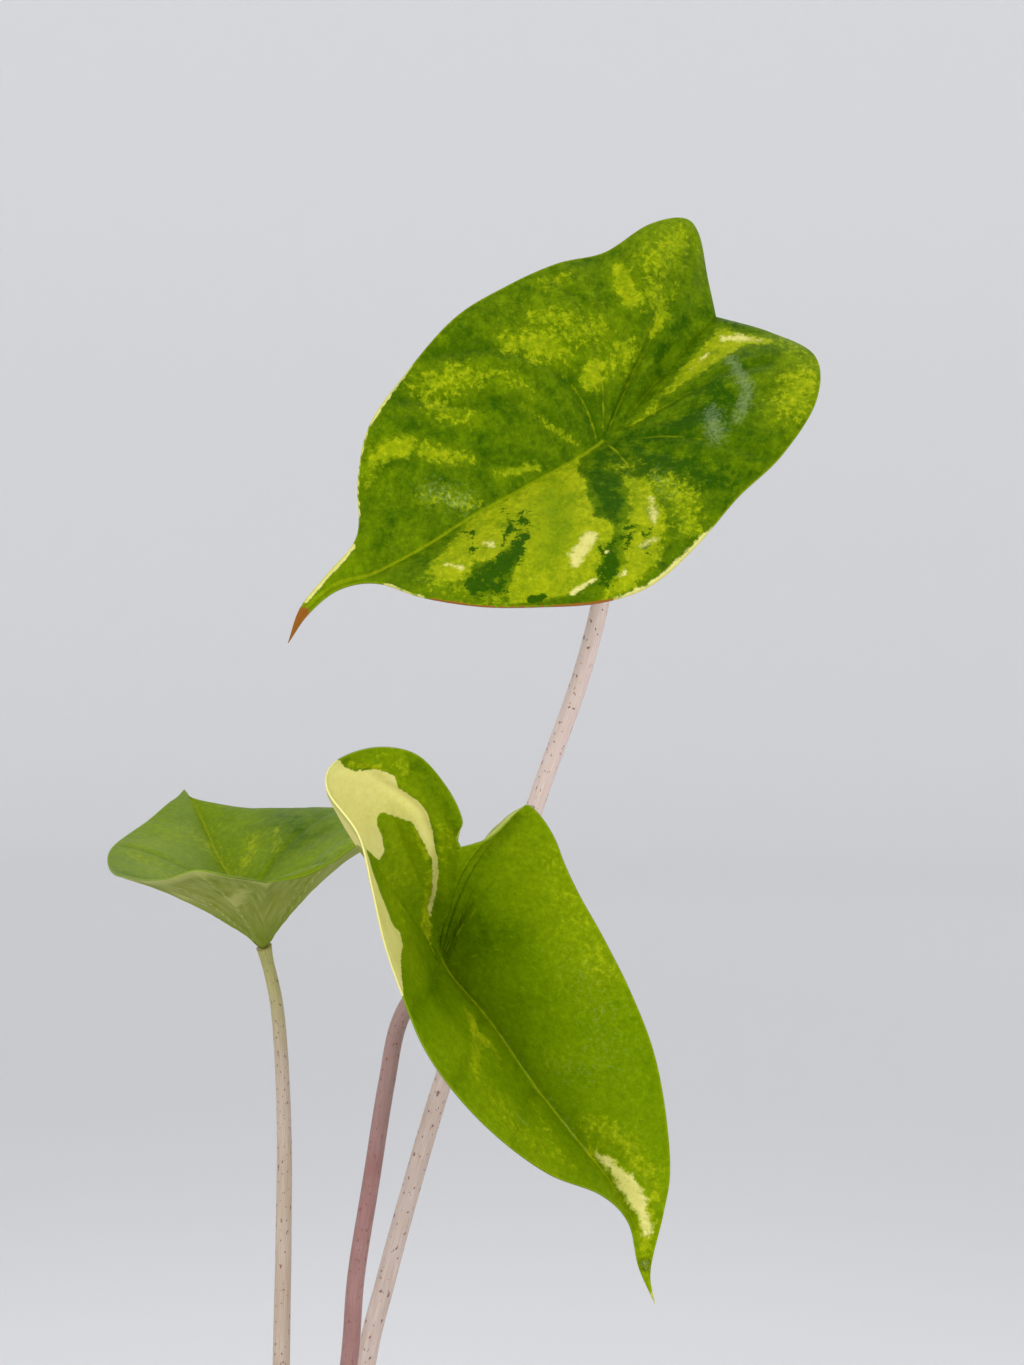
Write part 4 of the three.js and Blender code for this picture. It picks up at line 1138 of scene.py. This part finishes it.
def terracotta(settings):
    """Unglazed terracotta, pressed and fired: dry and matt, fine-grained, with a chalky bloom of lime."""
    material, tree, shader = new_material("unglazed terracotta, fired", 0.88, 0.3)
    place = add_node(tree, "ShaderNodeTexCoord", None, None, "Object")
    mottle = full_noise(tree, place, 28.57, 5)
    grit = full_noise(tree, place, 0.7143, 3)
    chalk = full_noise(tree, place, 16.67, 6, 0.7)
    rings = full_noise(tree, place, 1.111, 2, stretch=(0.05, 0.05, 1))
    height = add_node(tree, "ShaderNodeSeparateXYZ", None, {0: place}, "Z")
    low = add_node(tree, "ShaderNodeMapRange", None, {"Value": height, "From Min": 60 * MM, "From Max": 0}, 0)
    tint = layered(
        tree, layered(tree, settings.clay, (0.3, 1, BLACK)),
        (mottle, 1, settings.clay), (0.55, 1, settings.clay), (0.12, 1, grit, "OVERLAY"),
        (ragged_mask(tree, low, chalk, 0.9, 0.3), 0.4, settings.pale),
    )
    relief = add_node(tree, "ShaderNodeMath", {"operation": "MULTIPLY_ADD"}, {0: rings, 1: 0.6, 2: grit}, 0)
    coat(tree, shader, tint, relief, 0.4, 0.12)
    return material


class ALOCASIA_OT_clay_pot(Operator):
    """Builds the clay pot with its banded rim and drain holes in place of its solid"""

    bl_idname = "alocasia.clay_pot"
    bl_label = "Clay Pot"

    def execute(self, context):
        body = spun(pot_profile(), STEPS_ROUND["pot"], EDGE)
        pot = link_object("clay_pot", body, [terracotta(context.scene.alocasia_pot)])
        cutters = bmesh.new()
        for i in range(DRAIN["count"]):
            angle = (i / DRAIN["count"] + DRAIN["turn"]) * 2 * math.pi
            x, y = DRAIN["circle"] * math.cos(angle), DRAIN["circle"] * math.sin(angle)
            spot = Vector((x, y, POT["floor"] / 2))
            bmesh.ops.create_cone(
                cutters, cap_ends=True, segments=DRAIN["sides"],
                radius1=DRAIN["radius"] * MM, radius2=DRAIN["radius"] * MM,
                depth=3 * POT["floor"] * MM, matrix=Matrix.Translation(spot * MM),
            )
        drill = link_object("drill", cutters, [])
        cut = pot.modifiers.new("drain holes", "BOOLEAN")
        cut.operation = "DIFFERENCE"
        cut.solver = "EXACT"
        cut.object = drill
        with context.temp_override(object=pot, active_object=pot, selected_objects=[pot]):
            bpy.ops.object.modifier_apply(modifier=cut.name)
        bpy.data.objects.remove(drill)
        pot.data.set_sharp_from_angle(angle=math.radians(SHARP))
        dress(pot, "pot", "pot")
        return {"FINISHED"}


def soil_height(x, y):
    """Height of the soil's surface in mm: low lumps, falling a little towards the wall."""
    (x_waves, x_start), (y_waves, y_start) = LUMPS["broad"]
    broad = math.sin(x * x_waves + x_start) * math.cos(y * y_waves + y_start)
    share, along_x, along_y = LUMPS["fine"]
    fine = share * math.sin(x * along_x + y * along_y)
    return SOIL["top"] + SOIL["lump"] * (broad + fine) - SOIL["fall"] * math.hypot(x, y)


def tone_material(name, tint, roughness, width, depth):
    """Dry porous matter: quite matt and grainy, with painted shade in its pits, each grain with a tone of its
    own.

    Its pits have a width and a depth in mm.
    """
    material, tree, shader = new_material(name, roughness, 0.25)
    place = add_node(tree, "ShaderNodeTexCoord", None, None, "Object")
    tone = add_node(tree, "ShaderNodeAttribute", {"attribute_name": "tone"}, None, "Fac")
    grain = full_noise(tree, place, width, 5, 0.65)
    dark = layered(tree, tint, (0.6, 1, BLACK))
    # The grain darkens the colour where it sinks the surface: painted shade in the pits, over each grain's
    # own tone.
    coat(tree, shader, layered(tree, dark, (tone, 1, tint), (0.35, 1, grain, "OVERLAY")), grain, 0.7, depth)
    return material


# Loose grains: their clearance from the stem in mm, how far they tilt and turn in radians, and, as shares of
# their size, their lift, squash and jitter.
GRAIN = {"clear": 1, "tilt": 0.5, "turn": 6.3, "lift": 0.15, "squash": 0.8, "jitter": 0.14, "tones": (0.3, 1)}


def scatter(name, count, shape, size, flat, material, draw, reach):
    """Joined grains on the soil: each is a small jittered cube or ball, half sunk, with its own tone."""
    bm = bmesh.new()
    tone = bm.verts.layers.float.new("tone")
    inner = CORM["radius"] + GRAIN["clear"]
    tilt, jitter = GRAIN["tilt"], GRAIN["jitter"]
    for _ in range(count):
        radius = math.sqrt(draw.uniform(inner**2, reach**2))
        angle = draw.uniform(0, 2 * math.pi)
        x, y = radius * math.cos(angle), radius * math.sin(angle)
        big = draw.uniform(*size)
        turn = Euler([draw.uniform(-tilt, tilt), draw.uniform(-tilt, tilt), draw.uniform(0, GRAIN["turn"])])
        deep, high = draw.uniform(*flat), draw.uniform(*flat) * GRAIN["squash"]
        stretch = Matrix.Diagonal((big, big * deep, big * high, 1))
        spot = Matrix.Translation((x, y, soil_height(x, y) + big * GRAIN["lift"]))
        matrix = Matrix.Scale(MM, 4) @ spot @ turn.to_matrix().to_4x4() @ stretch
        if shape == "chip":
            made = bmesh.ops.create_cube(bm, size=1, matrix=matrix)["verts"]
        else:
            made = bmesh.ops.create_icosphere(bm, subdivisions=1, radius=0.5, matrix=matrix)["verts"]
        shade = draw.uniform(*GRAIN["tones"])
        for vert in made:
            vert[tone] = shade
            vert.co += Vector([draw.uniform(-jitter, jitter) * big * MM for _ in range(3)])
    grains = link_object(name, bm, [material])
    grains.data.shade_flat()
    return grains


class ALOCASIA_OT_potting_mix(Operator):
    """Builds the potting mix, with bark chips, perlite and peat crumbs on it, in place of its solid"""

    bl_idname = "alocasia.potting_mix"
    bl_label = "Potting Mix"

    def execute(self, context):
        settings = context.scene.alocasia_mix
        wall_gap = SOIL["wall_gap"]
        foot = POT["floor"] + GAP
        hole = CORM["radius"] + GAP
        reach = pot_inner_radius(SOIL["top"]) - wall_gap
        rings = SOIL["rings"]
        profile = [
            (0, foot), (pot_inner_radius(foot) - POT["cove"] - wall_gap, foot),
            (pot_inner_radius(foot + POT["cove"]) - wall_gap, foot + POT["cove"]),
        ]
        profile += [(hole + (reach - hole) * i / rings, SOIL["top"]) for i in range(rings, -1, -1)]
        profile += [(hole, CORM["foot"] - GAP), (0, CORM["foot"] - GAP)]
        bm = spun(profile, STEPS_ROUND["soil"])
        tone = bm.verts.layers.float.new("tone")
        for vert in bm.verts:
            vert[tone] = SOIL["tone"]
            if abs(vert.co.z - SOIL["top"] * MM) < SAME_SPOT * MM:
                x, y = vert.co.x / MM, vert.co.y / MM
                crumbs = (rise * noise.noise(Vector((x, y, layer)) * waves) for rise, layer, waves in CRUMBS)
                vert.co.z = (soil_height(x, y) + sum(crumbs)) * MM
        peat = tone_material("peat, damp and fibrous", settings.peat, 0.95, 1.111, 0.5)
        mix = link_object("potting_mix", bm, [peat])
        dress(mix, "soil", "soil")
        draw = random.Random(settings.seed)
        bark = tone_material("pine bark, broken chips", settings.bark, 0.85, 2, 0.2)
        perlite = tone_material("perlite, expanded glass", settings.perlite, 0.9, 0.8333, 0.15)
        # Name, count, form, sizes and flatness, material, and clearance from the pot in mm.
        loose = (
            ("peat_crumbs", settings.crumbs, "ball", (0.8, 2.2), (0.6, 1), peat, 1.2),
            ("bark_chips", settings.chips, "chip", (2, 5.5), (0.25, 0.6), bark, 3.2),
            ("perlite_grains", settings.grains, "ball", (1, 2.6), (0.7, 1), perlite, 1.8),
        )
        for *kind, clear in loose:
            dress(scatter(*kind, draw, reach - clear), "soil")
        return {"FINISHED"}


# Dry skin of the stem base: patches round it, bands and wrinkles in radians and waves per mm of height, and
# the wrinkles' share of the radius.
SKIN = {"patches": 3, "bands": 0.9, "wrinkles": 0.3, "depth": 0.03}


class ALOCASIA_OT_stem_base(Operator):
    """Builds the ringed stem base in place of its solid"""

    bl_idname = "alocasia.stem_base"
    bl_label = "Stem Base"

    def execute(self, context):
        radius, step, groove = CORM["radius"], CORM["ring_step"], CORM["groove"]
        profile = [(0, CORM["foot"]), (radius - CORM["round"], CORM["foot"])]
        z = CORM["foot"] + CORM["round"]
        while z < CORM["top"] - step / 2:
            land, slope = z + step * CORM["land"], z + step * CORM["slope"]
            profile += [(radius, z), (radius, land), (radius - groove, slope)]
            z += step
        profile += [(radius - groove, CORM["top"]), (0, CORM["top"])]
        bm = spun(profile, STEPS_ROUND["stem"], EDGE)
        upright = [edge for edge in bm.edges if abs(edge.verts[0].co.z - edge.verts[1].co.z) > MM]
        bmesh.ops.subdivide_edges(bm, edges=upright, cuts=3, use_grid_fill=True)
        tone = bm.verts.layers.float.new("tone")
        for vert in bm.verts:
            around = math.atan2(vert.co.y, vert.co.x)
            height = vert.co.z / MM
            vert[tone] = 0.5 + 0.5 * math.sin(around * SKIN["patches"] + height * SKIN["bands"])
            spot = Vector((math.cos(around), math.sin(around), 0)) * SKIN["patches"]
            spot.z = height * SKIN["wrinkles"]
            vert.co.xy *= 1 + SKIN["depth"] * noise.noise(spot)
        skin = tone_material("stem base, dry ringed skin", context.scene.alocasia_stalk.bark, 0.8, 2.5, 0.3)
        dress(link_object("stem_base", bm, [skin]), "corm", "corm")
        return {"FINISHED"}


# The drop: its row and a row ahead of it, its s, and in mm its lift over the leaf's middle and its radii.
DROP = {"rows": (1.05, 0.8), "s": 0.02, "lift": 0.8, "radius": 1.15, "half_length": 1.6}


class ALOCASIA_OT_dew_drop(Operator):
    """Builds the drop of water held on the front leaf's tail"""

    bl_idname = "alocasia.dew_drop"
    bl_label = "Dew Drop"

    def execute(self, context):
        leaf = LEAVES["front"]
        spot, ahead = leaf_point(leaf, np.array(DROP["rows"]), np.full(2, DROP["s"]))
        bm = bmesh.new()
        bmesh.ops.create_uvsphere(bm, u_segments=32, v_segments=20, radius=1)
        along = Vector(unit(ahead - spot))
        up = Vector(unit(leaf["up"]))
        turn = along.to_track_quat("Z", "X").to_matrix().to_4x4()
        centre = Matrix.Translation((Vector(spot) + up * DROP["lift"]) * MM)
        size = Matrix.Diagonal(Vector((DROP["radius"], DROP["radius"], DROP["half_length"])) * MM).to_4x4()
        bmesh.ops.transform(bm, matrix=centre @ turn @ size, verts=bm.verts)
        # Water: clear, perfectly smooth, held round by its skin.
        water, _, shader = new_material("water drop", 0.02)
        shader.inputs["Transmission Weight"].default_value = 1
        shader.inputs["IOR"].default_value = 1.33
        dress(link_object("dew_drop", bm, [water]), "blade_front")
        return {"FINISHED"}


# Backdrop in mm: flat floor, hollow round its edge and height of its wall, and the steps of its outline.
STAGE = {"flat": 1900, "cove": 900, "wall": 1500, "cove_steps": 24, "wall_steps": 6}
# Tone of the painted backdrop by the distance from its middle, run along floor and wall in mm: painted shade.
BACKDROP_SHADE = {
    "run": (0, 500, 760, 980, 1290, 1700, 2400, 3000, 3700),
    "tone": (0.62, 0.59, 0.3, 0.21, 0.29, 0.48, 0.66, 0.77, 1),
}
# Camera and lamps: places and sizes in metres, pitch in degrees, lens and sensor in mm.
CAMERA = {"place": (0.053, -0.8029, 0.3922), "pitch": 85, "lens": 85, "sensor": 36, "far": 20}
LAMPS = {
    "key": {"place": (-0.9, -1.5, 0.85), "size": 1.3},
    "fill": {"place": (1.2, -1.4, 0.65), "size": 1.2},
    "rear": {"place": (0.5, 1.2, 1.5), "size": 1.0},
}
LAMP_TARGET = (0.04, 0, 0.3)


class ALOCASIA_OT_stage(Operator):
    """Builds the seamless floor and backdrop, the lamps and the camera"""

    bl_idname = "alocasia.stage"
    bl_label = "Stage"

    def execute(self, context):
        settings = context.scene.alocasia_stage
        flat, cove, steps, rise = STAGE["flat"], STAGE["cove"], STAGE["cove_steps"], STAGE["wall_steps"]
        bends = [math.pi / 2 * i / steps for i in range(steps + 1)]
        profile = [(flat * i / steps, 0) for i in range(steps)]
        profile += [(flat + cove * math.sin(bend), cove * (1 - math.cos(bend))) for bend in bends]
        profile += [(flat + cove, cove + (STAGE["wall"] - cove) * i / rise) for i in range(1, rise + 1)]
        bm = spun(profile, STEPS_ROUND["backdrop"])
        bmesh.ops.reverse_faces(bm, faces=bm.faces)
        painted = bm.verts.layers.float.new("tone")
        for vert in bm.verts:
            vert[painted] = np.interp((vert.co.xy.length + vert.co.z) / MM, BACKDROP_SHADE["run"], BACKDROP_SHADE["tone"])
        # Painted board: quite matt, its grey running darker in a ring behind the plant as painted shade.
        paper, tree, shader = new_material("backdrop, matt painted", 0.95, 0.1)
        tone = add_node(tree, "ShaderNodeAttribute", {"attribute_name": "tone"}, None, "Fac")
        coat(tree, shader, layered(tree, settings.dusk, (tone, 1, settings.paper)))
        backdrop = link_object("backdrop", bm, [paper])
        for name, lamp in LAMPS.items():
            light = bpy.data.lights.new(name, "AREA")
            light.shape = "SQUARE"
            light.size = lamp["size"]
            light.energy = getattr(settings, name)
            holder = bpy.data.objects.new(name, light)
            holder.location = lamp["place"]
            aim = Vector(LAMP_TARGET) - holder.location
            holder.rotation_euler = aim.to_track_quat("-Z", "Y").to_euler()
            holder.visible_camera = False
            context.scene.collection.objects.link(holder)
        world = bpy.data.worlds.new("room light")
        world.use_nodes = True
        background = world.node_tree.nodes["Background"]
        background.inputs["Color"].default_value = settings.sky
        background.inputs["Strength"].default_value = settings.sky_strength
        context.scene.world = world
        context.scene.view_settings.view_transform = "Standard"
        view = bpy.data.cameras.new("camera")
        view.lens = CAMERA["lens"]
        view.sensor_width = CAMERA["sensor"]
        view.clip_end = CAMERA["far"]
        camera = bpy.data.objects.new("camera", view)
        camera.location = CAMERA["place"]
        camera.rotation_euler = (math.radians(CAMERA["pitch"]), 0, 0)
        context.scene.collection.objects.link(camera)
        context.scene.camera = camera
        return {"FINISHED"}


class ALOCASIA_PT_builder(Panel):
    """Lists the pieces of the potted plant"""

    bl_label = "Potted Alocasia"
    bl_idname = "ALOCASIA_PT_builder"
    bl_space_type = "VIEW_3D"
    bl_region_type = "UI"
    bl_category = "Alocasia"

    def draw(self, context):
        for step in STEPS:
            self.layout.operator(step.bl_idname)


STEPS = (
    ALOCASIA_OT_stage,
    ALOCASIA_OT_clay_pot,
    ALOCASIA_OT_potting_mix,
    ALOCASIA_OT_stem_base,
    ALOCASIA_OT_leaf_stalks,
    ALOCASIA_OT_leaf_blades,
    ALOCASIA_OT_dew_drop,
)
SETTINGS = {
    "alocasia_leaf": AlocasiaLeafSettings,
    "alocasia_stalk": AlocasiaStalkSettings,
    "alocasia_pot": AlocasiaPotSettings,
    "alocasia_mix": AlocasiaMixSettings,
    "alocasia_stage": AlocasiaStageSettings,
}


def register():
    """Adds the settings, the operators and the panel."""
    for group in SETTINGS.values():
        bpy.utils.register_class(group)
    for step in STEPS:
        bpy.utils.register_class(step)
    bpy.utils.register_class(ALOCASIA_PT_builder)
    for name, group in SETTINGS.items():
        setattr(bpy.types.Scene, name, PointerProperty(type=group))


def unregister():
    """Takes out what register added."""
    for name in SETTINGS:
        delattr(bpy.types.Scene, name)
    bpy.utils.unregister_class(ALOCASIA_PT_builder)
    for step in reversed(STEPS):
        bpy.utils.unregister_class(step)
    for group in reversed(SETTINGS.values()):
        bpy.utils.unregister_class(group)


def main():
    """Builds every piece through its operator."""
    register()
    for step in STEPS:
        package, action = step.bl_idname.split(".")
        getattr(getattr(bpy.ops, package), action)()


if __name__ == "__main__":
    main()
